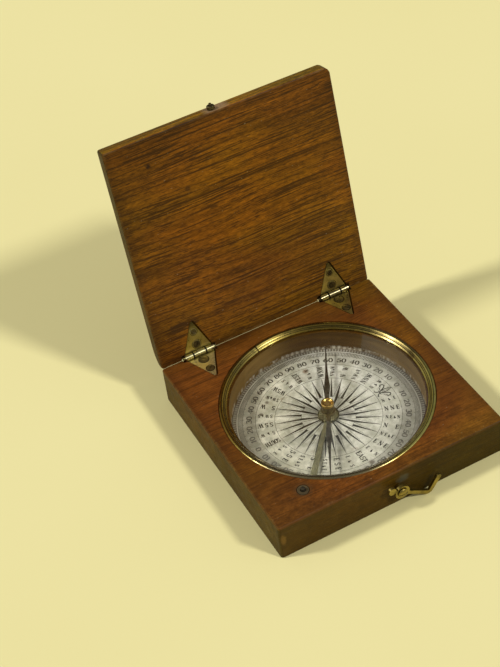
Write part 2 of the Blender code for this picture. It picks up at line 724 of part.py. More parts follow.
def build_lock(brass, steel, lever_axis):
    """Lever with its ring and cup round the pivot, fulcrum pin, lock pin and bush."""
    half_neck = LEVER_NECK / 2
    half_tail = LEVER_TAIL / 2
    tail = PIN_AT - FULCRUM_AT
    neck_angle = math.asin(half_neck / LEVER_RING_RADIUS)
    outline = arc(-FULCRUM_AT, 0.0, LEVER_RING_RADIUS, neck_angle, math.tau - neck_angle, 28)
    outline += arc(tail, 0.0, half_tail, -math.pi / 2, math.pi / 2, 8)
    half_thick = LEVER_THICKNESS / 2
    lever = piece("lifter_lever", prism(outline, -half_thick, half_thick), brass, lever_axis)
    hole = rod(LEVER_HOLE_RADIUS, -LEVER_THICKNESS, LEVER_THICKNESS)
    ring_place = (-FULCRUM_AT, 0.0, 0.0)
    cut(lever, tool(hole, lever_axis, ring_place))
    cup_bore = CAP_TAIL_RADIUS + LEVER_CUP_GAP
    cup_top = half_thick + LEVER_CUP_HEIGHT
    cup = [
        (cup_bore, 0.0),
        (LEVER_CUP_FOOT, 0.0),
        (LEVER_CUP_FOOT, half_thick + SEAT_GAP),
        (LEVER_CUP_RADIUS, cup_top),
        (cup_bore, cup_top),
    ]
    join(lever, tool(turned(cup, SMALL_TURN), lever_axis, ring_place))
    across = (math.pi / 2, 0.0, 0.0)
    half_eye = LEVER_EYE_LENGTH / 2
    join(lever, tool(rod(LEVER_EYE_RADIUS, -half_eye, half_eye), lever_axis, turn=across))
    bore = rod(FULCRUM_RADIUS + PIN_GAP, -LEVER_TAIL, LEVER_TAIL)
    cut(lever, tool(bore, lever_axis, turn=across))

    half = CHANNEL_WIDTH / 2 + FULCRUM_BURIED
    piece("fulcrum_pin", rod(FULCRUM_RADIUS, -half, half), steel, None, fulcrum_place(), fulcrum_turn())

    pin_x, pin_y = pin_place()
    place = (pin_x, pin_y, 0.0)
    crown = PIN_RADIUS / 2
    pin = [
        (0.0, PIN_BOTTOM),
        (PIN_FLANGE_RADIUS, PIN_BOTTOM),
        (PIN_FLANGE_RADIUS, PIN_BOTTOM + PIN_FLANGE),
        (PIN_RADIUS, PIN_BOTTOM + PIN_FLANGE),
    ]
    pin += dome(PIN_RADIUS, PIN_TOP - crown, crown)
    piece("lock_pin", turned(pin, SMALL_TURN), steel, place=place)
    bush = tube(PIN_RADIUS + PIN_GAP, bush_radius(), CASE_TOP - BUSH_LENGTH, CASE_TOP)
    piece("pin_bush", bush, brass, place=place)


def hook_outline():
    """Finial, eye, shank, bent elbow and round tip, with the eye at the origin and the shank along X."""
    half = HOOK_WIDTH / 2
    half_neck = HOOK_NECK / 2
    half_tip = half + HOOK_TIP_FLARE / 2
    bend_x = HOOK_SHANK - HOOK_ELBOW * math.tan(HOOK_BEND / 2)
    down = -math.pi / 2
    tip = HOOK_ARM - half_tip
    tip_x = HOOK_SHANK + tip * math.cos(HOOK_BEND)
    tip_y = tip * math.sin(HOOK_BEND)

    outline = arc(bend_x, HOOK_ELBOW, HOOK_ELBOW + half, down, down + HOOK_BEND, 5)
    outline += arc(tip_x, tip_y, half_tip, HOOK_BEND + down, HOOK_BEND - down, 7)
    outline += arc(bend_x, HOOK_ELBOW, HOOK_ELBOW - half, down + HOOK_BEND, down, 3)
    shank_angle = math.asin(half / HOOK_EYE_RADIUS)
    neck_angle = math.asin(half_neck / HOOK_EYE_RADIUS)
    finial_angle = math.asin(half_neck / HOOK_FINIAL_RADIUS)
    outline += arc(0.0, 0.0, HOOK_EYE_RADIUS, shank_angle, math.pi - neck_angle, 10)
    outline += arc(-HOOK_FINIAL_AT, 0.0, HOOK_FINIAL_RADIUS, finial_angle, math.tau - finial_angle, 14)
    outline += arc(0.0, 0.0, HOOK_EYE_RADIUS, math.pi + neck_angle, math.tau - shank_angle, 10)
    return outline


def build_hook(brass, hook_axis):
    """The hook on its collar, and the slotted screw that it turns on."""
    plate = prism(hook_outline(), HOOK_BACK, HOOK_FRONT)
    hook = piece("latch_hook", plate, brass, hook_axis, turn=(0.0, 0.0, -HOOK_DROP))
    bore = HOOK_SCREW_RADIUS + PIN_GAP
    cut(hook, tool(rod(bore, 0.0, LONG_CUT), hook_axis))
    piece("hook_collar", tube(bore, COLLAR_RADIUS, SEAT_GAP, COLLAR_TOP), brass, hook_axis)
    head = HOOK_FRONT + SEAT_GAP
    rim = HOOK_SCREW_DOME / 3
    profile = [
        (0.0, -HOOK_SCREW_DEPTH),
        (HOOK_SCREW_RADIUS, -HOOK_SCREW_DEPTH),
        (HOOK_SCREW_RADIUS, head),
        (HOOK_SCREW_HEAD, head),
    ]
    profile += dome(HOOK_SCREW_HEAD, head + rim, HOOK_SCREW_DOME - rim)
    screw = piece("hook_screw", turned(profile, SMALL_TURN), brass, hook_axis)
    top = head + HOOK_SCREW_DOME
    cut(screw, tool(slot(SCREW_SLOT, SCREW_SLOT_DEPTH * 2, top), hook_axis))


def build():
    clear_scene()
    wood = finish("mahogany", (0.16, 0.055, 0.014), 0.38)
    brass = finish("aged_brass", (0.42, 0.31, 0.11), 0.36, 1.0)
    dark_brass = finish("dark_brass", (0.20, 0.16, 0.08), 0.45, 1.0)
    steel = finish("dark_steel", (0.10, 0.10, 0.11), 0.4, 1.0)
    blue_steel = finish("blued_steel", (0.03, 0.035, 0.05), 0.3, 1.0)
    paper = finish("printed_card", (0.72, 0.71, 0.66), 0.7)
    glass = finish("clear_glass", (1.0, 1.0, 1.0), 0.02, 0.0, 1.0)
    jewel_stone = finish("agate", (0.35, 0.12, 0.06), 0.15)

    hinge_axis = pivot("hinge_axis", (0.0, HINGE_Y, HINGE_Z))
    lid_axis = pivot("lid_axis", (0.0, HINGE_Y, HINGE_Z), (-LID_OPEN, 0.0, 0.0))
    needle_axis = pivot("needle_axis", (BOWL_X, BOWL_Y, 0.0), (0.0, 0.0, NEEDLE_HEADING))
    lever_axis = pivot("lever_axis", fulcrum_place(), (0.0, 0.0, LEVER_HEADING))
    hook_axis = pivot("hook_axis", (HOOK_PIVOT_X, FRONT, HOOK_PIVOT_HEIGHT), OUT_OF_FRONT)

    build_case(wood, hinge_axis)
    build_compass(brass, paper, steel, glass)
    build_needle(blue_steel, brass, jewel_stone, needle_axis)
    build_lock(dark_brass, steel, lever_axis)
    build_lid(wood, lid_axis)
    build_stud(brass, lid_axis)
    for side, side_name in ((-1, "left"), (1, "right")):
        build_leaf(f"case_leaf_{side_name}", side, hinge_axis, -1, brass)
        build_leaf(f"lid_leaf_{side_name}", side, lid_axis, 1, brass)
        build_hinge_pin(f"hinge_pin_{side_name}", side, hinge_axis, brass)
        build_leaf_screws("case", side, side_name, hinge_axis, -1, dark_brass)
        build_leaf_screws("lid", side, side_name, lid_axis, 1, dark_brass)
    build_hook(brass, hook_axis)


build()
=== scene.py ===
"""Looks of the square wooden pocket compass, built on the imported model."""

import math

import bmesh
import bpy
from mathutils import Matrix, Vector


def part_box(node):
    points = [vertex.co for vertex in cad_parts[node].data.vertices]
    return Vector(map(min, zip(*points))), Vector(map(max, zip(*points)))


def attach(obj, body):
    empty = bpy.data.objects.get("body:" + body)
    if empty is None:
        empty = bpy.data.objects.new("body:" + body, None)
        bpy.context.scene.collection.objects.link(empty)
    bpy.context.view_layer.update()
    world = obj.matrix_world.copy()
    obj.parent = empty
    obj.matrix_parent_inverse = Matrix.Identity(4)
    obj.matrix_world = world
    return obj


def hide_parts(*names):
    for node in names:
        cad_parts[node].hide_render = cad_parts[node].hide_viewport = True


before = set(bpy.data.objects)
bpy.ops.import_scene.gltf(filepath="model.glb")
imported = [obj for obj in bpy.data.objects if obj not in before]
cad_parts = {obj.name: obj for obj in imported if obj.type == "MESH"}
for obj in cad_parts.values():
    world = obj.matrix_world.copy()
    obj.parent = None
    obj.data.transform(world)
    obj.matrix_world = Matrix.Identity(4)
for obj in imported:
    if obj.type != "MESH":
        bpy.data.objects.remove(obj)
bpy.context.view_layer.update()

# Places and sizes of the solids, in metres.
BOWL = Vector((-0.0006, -0.0009, 0.0))
BOWL_RADIUS = 0.0316
BOWL_FLOOR = 0.0038
CASE_TOP = 0.01395
CARD_TOP = 0.0042
HINGE_X, HINGE_Y, HINGE_Z = 0.026, 0.0396, 0.01445
LID_OPEN = math.radians(102.2)
LEAF_HALF = 0.0052
LEAF_REACH = 0.0118
# How far the leaves' recesses lie towards +X of them.
RECESS_SHIFT = 0.00032
# The leaves' screws: distance from the hinge axis and radius of the head.
LEAF_SCREWS = ((0.0032, 0.00155), (0.0081, 0.00125))
# The lid's half width, front edge, front corners in the solid, and each corner as it is worn.
LID_HALF = 0.0398
LID_FRONT = -0.0791
LID_CORNER = 0.0020
LID_CORNER_SHARP = 0.0008
LID_CORNER_WORN = 0.0027
# How far the lid's foot is lowered, and right of the right hinge.
FOOT_DROP, FOOT_DROP_RIGHT = 0.00010, 0.00022
# The middle and half size of each board.
CASE_BOX = ((0.0, 0.0, CASE_TOP / 2), (0.040, 0.040, CASE_TOP / 2))
LID_BOX = ((0.0, -0.03935, 0.00285), (LID_HALF, 0.03975, 0.00235))
# A side face of the case, at -X or -Y: where it lies, and where its edge has turned away.
SIDE_FACE = (-0.0398, -0.0394)
# The needle's heading, and half its width at distances from the pivot: as it looks, and in the solid.
NEEDLE_HEADING = math.radians(61.4)
NEEDLE_ARM = (
    (0.0026, 0.00069), (0.0042, 0.00054), (0.0065, 0.00064), (0.0083, 0.00081), (0.0099, 0.00095),
    (0.0112, 0.00095), (0.0131, 0.00077), (0.0152, 0.00055), (0.0174, 0.00042), (0.0215, 0.00031),
    (0.0285, 0.00013),
)
NEEDLE_SOLID_ARM = ((0.0024, 0.00070), (0.0095, 0.00105), (0.0285, 0.00015))
RING_INSIDE = 0.03225
RING_GROOVES = (0.03385, 0.03319, 0.03277)

# Wood: light, middle and dark tones.
CASE_TONES = ((0.160, 0.056, 0.006), (0.126, 0.044, 0.005), (0.042, 0.015, 0.003))
# The lid's wood is the case's, with lighter tones: painted light.
LID_TONES = ((0.200, 0.079, 0.004), (0.160, 0.064, 0.004), (0.044, 0.019, 0.004))
# What the boards' sides are multiplied by: a painted reflection of the floor.
SIDE_FLOOR_REFLECTION = (0.60, 0.80, 0.36)
# Painted shade in the gap round the hinge leaves.
GAP_SHADE = (0.010, 0.006, 0.003)
# Marks on the case's front: place and reach in X and Z, strength and colour.
FRONT_MARKS = (
    (0.0031, 0.0098, 0.0026, 0.0020, 0.55, (0.085, 0.090, 0.066)),
    (-0.0386, 0.0081, 0.0011, 0.0027, 0.7, (0.185, 0.098, 0.016)),
)
# Dark marks on the lid: place, radius and strength.
LID_MARKS = (
    (-0.0266, -0.0697, 0.0012, 0.85), (-0.0159, -0.0576, 0.0014, 0.6), (-0.0259, -0.0635, 0.0006, 0.5),
    (0.0210, -0.0300, 0.0005, 0.6), (0.0050, -0.0660, 0.0005, 0.5), (-0.0330, -0.0130, 0.0007, 0.5),
)
# Brass: bright, tarnished and dirty colours, roughness, share of tarnish and seed.
BRASS = {
    "hinge_brass": ((0.50, 0.405, 0.125), (0.30, 0.24, 0.070), (0.05, 0.038, 0.015), 0.34, 0.6, 0.4),
    "screw_brass": ((0.20, 0.155, 0.065), (0.10, 0.078, 0.034), (0.02, 0.015, 0.008), 0.36, 0.7, 1.7),
    "lid_screw_brass": ((0.115, 0.089, 0.037), (0.060, 0.046, 0.020), (0.02, 0.015, 0.008), 0.36, 0.7, 1.7),
    "case_screw_brass": ((0.26, 0.21, 0.085), (0.14, 0.112, 0.045), (0.03, 0.023, 0.012), 0.34, 0.55, 1.1),
    "ring_brass": ((0.33, 0.265, 0.075), (0.24, 0.187, 0.042), (0.05, 0.038, 0.012), 0.20, 0.45, 0.9),
    "hook_brass": ((0.37, 0.285, 0.075), (0.18, 0.14, 0.038), (0.04, 0.03, 0.010), 0.30, 0.55, 2.3),
    "cap_brass": ((0.46, 0.30, 0.075), (0.30, 0.19, 0.05), (0.06, 0.04, 0.015), 0.16, 0.4, 3.1),
    "cap_side_brass": ((0.36, 0.25, 0.075), (0.25, 0.17, 0.05), (0.06, 0.04, 0.015), 0.34, 0.4, 3.7),
    "lever_brass": ((0.355, 0.345, 0.185), (0.275, 0.266, 0.145), (0.09, 0.080, 0.045), 0.40, 0.6, 4.2),
    "hub_brass": ((0.17, 0.145, 0.075), (0.12, 0.10, 0.05), (0.05, 0.04, 0.022), 0.50, 0.6, 5.6),
    "bush_brass": ((0.185, 0.142, 0.076), (0.135, 0.104, 0.056), (0.07, 0.052, 0.028), 0.68, 0.6, 6.3),
}
# Painted light and shade on the ring: heading in degrees, cosines where it starts and is full, and what it
# multiplies by.
RING_LIGHT_AND_SHADE = (
    (60, 0.75, 0.98, (0.66, 0.60, 0.45)),
    (20, 0.90, 0.985, (0.62, 0.62, 0.80)),
    (158, 0.80, 0.96, (1.55, 1.30, 0.75)),
    (236, 0.70, 0.94, (0.94, 0.98, 2.0)),
)
# Stains on the card: place, size and colour.
CARD_STAINS = (
    (0.0033, 0.0212, 0.0009, (0.19, 0.11, 0.05)), (-0.0186, 0.0120, 0.0006, (0.07, 0.055, 0.03)),
    (-0.0144, 0.0157, 0.0006, (0.09, 0.075, 0.05)), (0.0009, -0.0252, 0.0008, (0.14, 0.11, 0.07)),
)
# Directions from the card's middle, for worn print, the card's tone and painted light that differ from side
# to side.
LEFT, RIGHT = (-0.897, 0.443), (0.897, -0.443)
FAR, NEAR = (0.443, 0.897), (-0.45, -0.89)
LAMP_COLOUR = (1.0, 0.97, 0.92)


class Value:
    """A number, place or colour in a material, put together as in arithmetic."""

    def __init__(self, graph, socket):
        self.graph = graph
        self.socket = socket

    def __add__(self, other):
        return self.graph.math("ADD", self, other)

    def __sub__(self, other):
        return self.graph.math("SUBTRACT", self, other)

    def __rsub__(self, other):
        return self.graph.math("SUBTRACT", other, self)

    def __mul__(self, other):
        return self.graph.math("MULTIPLY", self, other)

    def __truediv__(self, other):
        return self.graph.math("DIVIDE", self, other)

    def __abs__(self):
        return self.graph.math("ABSOLUTE", self)

    def least(self, other):
        return self.graph.math("MINIMUM", self, other)

    def most(self, other):
        return self.graph.math("MAXIMUM", self, other)

    def waves(self, count):
        return self.graph.math("SINE", self * count)

    def facing(self, heading):
        """1 where an angle is at a heading in degrees, falling to -1 opposite."""
        return self.graph.math("COSINE", self - math.radians(heading))

    def span(self, low, high, to_low=0.0, to_high=1.0):
        """Maps low..high smoothly to to_low..to_high, clamped."""
        ends = {"From Min": low, "From Max": high, "To Min": to_low, "To Max": to_high}
        return self.graph.node("MapRange", "Result", {"Value": self, **ends}, interpolation_type="SMOOTHSTEP")

    def fade(self, low, high, top=1.0):
        """Falls smoothly from top at low to 0 at high."""
        return self.span(low, high, top, 0.0)

    def ramp(self, *stops):
        """Colours along a value; stops are (position, grey or colour)."""
        node = self.graph.nodes.new("ShaderNodeValToRGB")
        self.graph.feed(node.inputs["Fac"], self)
        parts = node.color_ramp.elements
        while len(parts) < len(stops):
            parts.new(0.5)
        for part, (position, colour) in zip(parts, stops):
            part.position = position
            part.color = (*colour, 1.0) if isinstance(colour, tuple) else (colour, colour, colour, 1.0)
        return Value(self.graph, node.outputs["Color"])


class Graph:
    """A material's node tree, written from coordinates to shader.

    Its colour is laid on in coats, from the ground up.
    """

    def __init__(self, name):
        self.material = bpy.data.materials.new(name)
        self.material.use_nodes = True
        self.nodes = self.material.node_tree.nodes
        self.link = self.material.node_tree.links.new
        self.nodes.clear()
        self.output = self.nodes.new("ShaderNodeOutputMaterial")
        self.shader = self.nodes.new("ShaderNodeBsdfPrincipled")
        self.link(self.shader.outputs[0], self.output.inputs[0])
        self.where = self.node("TexCoord", "Object", {})
        self.colour = None

    def feed(self, socket, value):
        if isinstance(value, Value):
            self.link(value.socket, socket)
        else:
            socket.default_value = value

    def node(self, kind, output, inputs, **settings):
        """The output of a new node with these inputs, each by name or number."""
        made = self.nodes.new("ShaderNode" + kind)
        for name, value in settings.items():
            setattr(made, name, value)
        for name, value in inputs.items():
            self.feed(made.inputs[name], value)
        return Value(self, made.outputs[output])

    def set(self, name, value):
        self.feed(self.shader.inputs[name], value)

    def noise(self, scale, shift=(0.0, 0.0, 0.0), detail=2.0, roughness=0.5, vector=None, distortion=0.0):
        """Clouds from 0 to 1. The scale is one number, or one for each axis."""
        size = scale if isinstance(scale, tuple) else (scale, scale, scale)
        place = self.node("Mapping", 0, {"Vector": vector or self.where, "Scale": size, "Location": shift})
        kind = {"Scale": 1.0, "Detail": detail, "Roughness": roughness, "Distortion": distortion}
        return self.node("TexNoise", "Fac", {"Vector": place, **kind})

    def math(self, operation, first, second=0.0):
        return self.node("Math", 0, {0: first, 1: second}, operation=operation)

    def mix(self, factor, first, second, kind="MIX"):
        first, second = ((*one, 1.0) if isinstance(one, tuple) else one for one in (first, second))
        inputs = {"Factor": factor, 6: first, 7: second}
        return self.node("Mix", 2, inputs, data_type="RGBA", blend_type=kind)

    def paint(self, share, colour):
        """Lays a share of a colour over the colour so far."""
        self.colour = self.mix(share, self.colour, colour)

    def tint(self, share, factor):
        """Multiplies a share of the colour so far."""
        self.colour = self.mix(share, self.colour, factor, "MULTIPLY")

    def axes(self):
        node = self.nodes.new("ShaderNodeSeparateXYZ")
        self.feed(node.inputs[0], self.where)
        return [Value(self, axis) for axis in node.outputs]

    def length(self, *parts):
        """Root of the sum of squares of one or more values."""
        total = 0.0
        for part in parts:
            total = part * part + total
        return self.math("SQRT", total)

    def from_bowl(self):
        """How far a point is from the bowl's axis in X and in Y."""
        x, y, _ = self.axes()
        return x - BOWL.x, y - BOWL.y

    def bowl_radius(self):
        return self.length(*self.from_bowl())

    def bowl_turn(self):
        east, north = self.from_bowl()
        return self.math("ARCTAN2", north, east)

    def towards(self, direction):
        """How far a point is from the bowl's axis in a direction."""
        east, north = self.from_bowl()
        return east * direction[0] + north * direction[1]

    def bump(self, height, distance, strength):
        inputs = {"Height": height, "Distance": distance, "Strength": strength}
        self.set("Normal", self.node("Bump", 0, inputs))

    def done(self):
        self.set("Base Color", self.colour)
        return self.material


def edge_distance(graph, middle, half):
    """Distance from a box's nearest edge, for a point on the box's faces."""
    a, b, c = (reach - abs(axis - place) for axis, place, reach in zip(graph.axes(), middle, half))
    return a.least(b).most(a.most(b).least(c))


def hinge_gap_shade(graph, x, reach):
    """1 in the gap round the let-in hinge leaves, where shade is painted, at a distance of reach from the
    hinge axis.
    """
    aside = abs(abs(x) - HINGE_X - graph.math("SIGN", x) * RECESS_SHIFT)
    return (aside / LEAF_HALF + reach / LEAF_REACH).fade(1.05, 1.10)


def mahogany(name, tones, figure, box, seed, place=None):
    """Old waxed mahogany with the grain along X, thin dark pores and worn edges.

    The figure, from 0 to 1, is how strongly the grain shows. The place gives the board's own coordinates.
    """
    light, middle, dark = tones
    graph = Graph(name)
    if place:
        graph.where = place(graph)
    shift = (seed, seed * 1.7, seed * 0.6)
    sway = graph.noise((11.0, 26.0, 26.0), shift, 1.0)
    bent = {0: sway, 1: (0.0, 0.008, 0.008), 2: graph.where}
    along = graph.node("VectorMath", 0, bent, operation="MULTIPLY_ADD")
    patch = graph.noise((24.0, 70.0, 70.0), shift, 3.0, 0.6, along)
    streak = graph.noise((7.0, 520.0, 520.0), shift, 3.0, 0.6, along)
    lines = graph.noise((24.0, 2100.0, 2100.0), shift, 2.0, 0.6, along)
    gather = graph.noise((38.0, 190.0, 190.0), (seed, 0.0, seed), vector=along)
    pores = graph.noise((210.0, 3600.0, 3600.0), (seed * 3.0, seed, seed), 1.0, vector=along)
    fuzz = graph.noise((700.0, 2000.0, 2000.0), shift)
    blush = graph.noise((20.0, 45.0, 45.0), (seed * 2.0, seed, 0.0))
    graph.colour = graph.mix(patch.span(0.44, 0.57), middle, light)
    graph.tint(1.0, blush.ramp((0.36, (0.95, 1.03, 0.9)), (0.62, (1.06, 0.94, 1.1))))
    graph.tint(figure, streak.ramp((0.34, 0.62), (0.50, 0.97), (0.66, 1.22)))
    graph.tint(figure, fuzz.ramp((0.30, 0.66), (0.70, 1.32)))
    thin = (lines + gather * 0.24).span(0.635, 0.75)
    pore_mask = pores.span(0.585, 0.655, 0.0, 0.9).most(thin)
    graph.paint(pore_mask * (0.35 + 0.55 * figure), dark)
    uneven = graph.noise(150.0, shift, 3.0, 0.7)
    ragged = edge_distance(graph, *box) - (uneven - 0.42) * 0.0022
    graph.paint(ragged.fade(0.0002, 0.0040, 0.38), dark)
    wear = graph.noise((260.0, 420.0, 420.0), shift, 4.0, 0.7)
    graph.paint(ragged.fade(0.0, 0.0006, 0.40) * wear.span(0.42, 0.66), (0.20, 0.125, 0.045))
    scuff = graph.noise((1000.0, 1500.0, 1500.0), shift)
    graph.paint(scuff.span(0.71, 0.76, 0.0, 0.45), (0.30, 0.23, 0.14))
    graph.set("Roughness", (streak + uneven).span(0.6, 1.4, 0.42, 0.58))
    graph.set("Specular IOR Level", 0.12)
    graph.bump(fuzz * 0.4 - pore_mask, 0.00005, 0.4)
    return graph


def lid_place(graph):
    """The lid's own coordinates when it is shut, from the hinge axis."""
    moved = {"Location": (0.0, HINGE_Y, HINGE_Z), "Rotation": (-LID_OPEN, 0.0, 0.0)}
    return graph.node("Mapping", 0, {"Vector": graph.where, **moved}, vector_type="TEXTURE")


def case_wood():
    graph = mahogany("case_mahogany", CASE_TONES, 0.38, CASE_BOX, 0.31)
    x, y, z = graph.axes()
    mottle = graph.noise((230.0, 330.0, 330.0), (0.4, 0.1, 0.7), 5.0, 0.7)
    blotch = mottle.ramp((0.34, (0.66, 0.68, 0.80)), (0.50, (0.98, 0.98, 1.0)), (0.66, (1.30, 1.34, 1.45)))
    grit = graph.noise((1000.0, 1500.0, 1500.0), (0.8, 0.3, 0.2), 3.0, 0.7)
    specks = grit.ramp((0.34, (0.60, 0.62, 0.72)), (0.50, 1.0), (0.66, (1.45, 1.52, 1.65)))
    near_left = (x + y) * -1.0
    near_right = x - y
    # The top, from corner to corner and then strip by strip.
    graph.paint(near_left.span(0.048, 0.066, 0.0, 0.45), (0.112, 0.042, 0.0068))
    graph.tint(y.span(-0.034, -0.016, 1.0, 0.45), blotch)
    graph.paint(near_right.span(0.050, 0.066, 0.0, 0.3), (0.122, 0.046, 0.0062))
    graph.tint(near_right.span(0.050, 0.066), (1.18, 1.30, 1.0))
    graph.tint(y.span(-0.036, -0.022, 0.42, 0.15), specks)
    graph.tint(y.fade(-0.037, -0.030) * x.span(-0.016, 0.004), (1.16, 1.28, 1.05))
    # A painted sheen: the back of the top lightened from the middle rightwards.
    graph.tint(y.span(0.028, 0.036) * x.span(-0.012, 0.002), (1.48, 1.78, 1.7))
    graph.tint(x.span(0.028, 0.033) * y.span(-0.002, 0.010), (1.22, 1.26, 0.8))
    # Dirt round the lock pin's bush, and painted shade in the gap round the hinge leaves.
    low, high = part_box("pin_bush")
    beside = graph.length(x - (low.x + high.x) / 2, y - (low.y + high.y) / 2) + mottle * 0.0016
    graph.paint(beside.fade(0.0026, 0.0044, 0.5), (0.060, 0.036, 0.014))
    gap = hinge_gap_shade(graph, x, HINGE_Y - y) * z.span(0.0132, 0.0136)
    graph.paint(gap * 0.85, GAP_SHADE)
    # The sides, with a painted reflection of the floor and painted shade on the front, and marks on the
    # front.
    front = y.fade(*SIDE_FACE)
    graph.paint(front * 0.5, (0.112, 0.043, 0.0062))
    # Painted reflection of the floor: the sides darkened and made olive, the left side more so.
    graph.tint(z.fade(0.0128, 0.0136), SIDE_FLOOR_REFLECTION)
    graph.tint(x.fade(*SIDE_FACE), (1.08, 1.22, 0.6))
    # Painted shade with the floor's reflection: the front darker and olive towards the right.
    graph.tint(front * x.span(-0.006, 0.016), (0.56, 0.60, 0.28))
    ragged = graph.noise(700.0, detail=3.0)
    for mark_x, mark_z, reach_x, reach_z, share, colour in FRONT_MARKS:
        off = graph.length((x - mark_x) / reach_x, (z - mark_z) / reach_z) + ragged * 0.9
        graph.paint(off.fade(0.8, 1.6, share) * front, colour)
    return graph.done()


def lid_wood():
    graph = mahogany("lid_mahogany", LID_TONES, 1.0, LID_BOX, 0.83, lid_place)
    x, y, z = graph.axes()
    # Painted shade in the gap round the hinge leaves.
    gap = hinge_gap_shade(graph, x, y * -1.0) * z.fade(0.0007, 0.0011)
    graph.paint(gap * 0.85, GAP_SHADE)
    # The inside: paler in the middle and at the lower right, darker at two corners.
    middle = graph.length((x - 0.003) * 0.75, y + 0.050)
    graph.tint(middle.fade(0.006, 0.034), (1.10, 1.06, 0.62))
    corner = x * -1.0 + y * -1.0
    graph.tint(corner.span(0.066, 0.104), (0.74, 0.75, 0.68))
    graph.tint(x.span(0.002, 0.020) * y.span(-0.040, -0.028), (1.20, 1.21, 1.25))
    graph.tint(x.fade(-0.034, -0.028) * y.span(-0.018, -0.010), (0.76, 0.72, 0.70))
    rough = graph.noise(2200.0)
    for mark_x, mark_y, radius, depth in LID_MARKS:
        off = graph.length(x - mark_x, y - mark_y) + rough * (radius * 0.6)
        graph.paint(off.fade(radius * 0.5, radius * 1.3, depth), (0.016, 0.009, 0.005))
    # The sides, with a painted reflection of the floor; the front edge paler, a painted light, and rubbed
    # beside the stud.
    graph.tint(abs(z - LID_BOX[0][2]).fade(0.0017, 0.0022), SIDE_FLOOR_REFLECTION)
    front = y.fade(LID_FRONT + 0.00005, LID_FRONT + 0.0002)
    # Painted light: the front edge, the top edge when the lid stands open, made paler, most towards the left.
    graph.tint(front, graph.mix(x.span(0.006, 0.026), (2.7, 2.6, 1.3), (1.75, 1.95, 1.15)))
    low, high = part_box("catch_stud")
    beside = abs(x - ((low.x + high.x) / 2 + 0.0015)) + rough * 0.003
    graph.paint(beside.fade(0.0040, 0.0068, 0.6) * front, (0.30, 0.20, 0.12))
    return graph.done()


def bowl_wood():
    """The turned wall of the bowl: brown and lacquered, with painted light and shade by heading and a painted
    reflection of the card low down, pale and broken.
    """
    graph = Graph("bowl_wall")
    z = graph.axes()[2]
    turn = graph.bowl_turn()
    stain = graph.noise((60.0, 60.0, 400.0), detail=3.0)
    graph.colour = stain.ramp((0.3, (0.060, 0.036, 0.010)), (0.7, (0.108, 0.066, 0.021)))
    # Painted light and shade: darker on the far side, lighter all round elsewhere.
    far = turn.facing(64).span(0.80, 0.98)
    graph.tint(1.0, far.ramp((0.0, (1.80, 1.84, 1.62)), (1.0, (0.64, 0.58, 0.42))))
    # A painted reflection of the card low down on the wall, pale and broken.
    patch = graph.noise((420.0, 420.0, 300.0), detail=3.0, roughness=0.7)
    block = turn.waves(110.0).span(-0.4, 0.4)
    low = z - CARD_TOP + patch * 0.0026
    pale = patch.span(0.42, 0.54) * (block * 0.6 + 0.4) * low.fade(0.0021, 0.0029, 0.8)
    graph.paint(pale, (0.46, 0.43, 0.32))
    graph.set("Roughness", stain.span(0.3, 0.7, 0.62, 0.75))
    graph.set("Specular IOR Level", 0.10)
    return graph.done()


def brass(name):
    """Aged brass: bright metal under a broken tarnish, with dark dirt."""
    bright, dull, dirt, roughness, tarnish, seed = BRASS[name]
    graph = Graph(name)
    shift = (seed, seed * 2.0, seed * 3.0)
    cloud = graph.noise(220.0, shift, 4.0, 0.65)
    speck = graph.noise(1900.0, shift)
    graph.colour = graph.mix(cloud.span(0.62 - tarnish * 0.4, 0.82 - tarnish * 0.3), bright, dull)
    spots = (speck + cloud * 0.5).span(0.88, 1.02)
    graph.paint(spots * 0.8, dirt)
    graph.rough = cloud.span(0.3, 0.7, roughness, roughness + 0.16) + spots * 0.2
    graph.set("Metallic", 1.0)
    graph.set("Roughness", graph.rough)
    graph.bump(speck, 0.00002, 0.35)
    return graph


def from_hinge(graph, x, y, z):
    """Distances from the hinge axis, the leaf's middle line and each leaf screw, with the head's radius."""
    off = graph.length(y - HINGE_Y, z - HINGE_Z)
    beside = abs(abs(x) - HINGE_X)
    return off, beside, [(graph.length(beside, off - place), head) for place, head in LEAF_SCREWS]


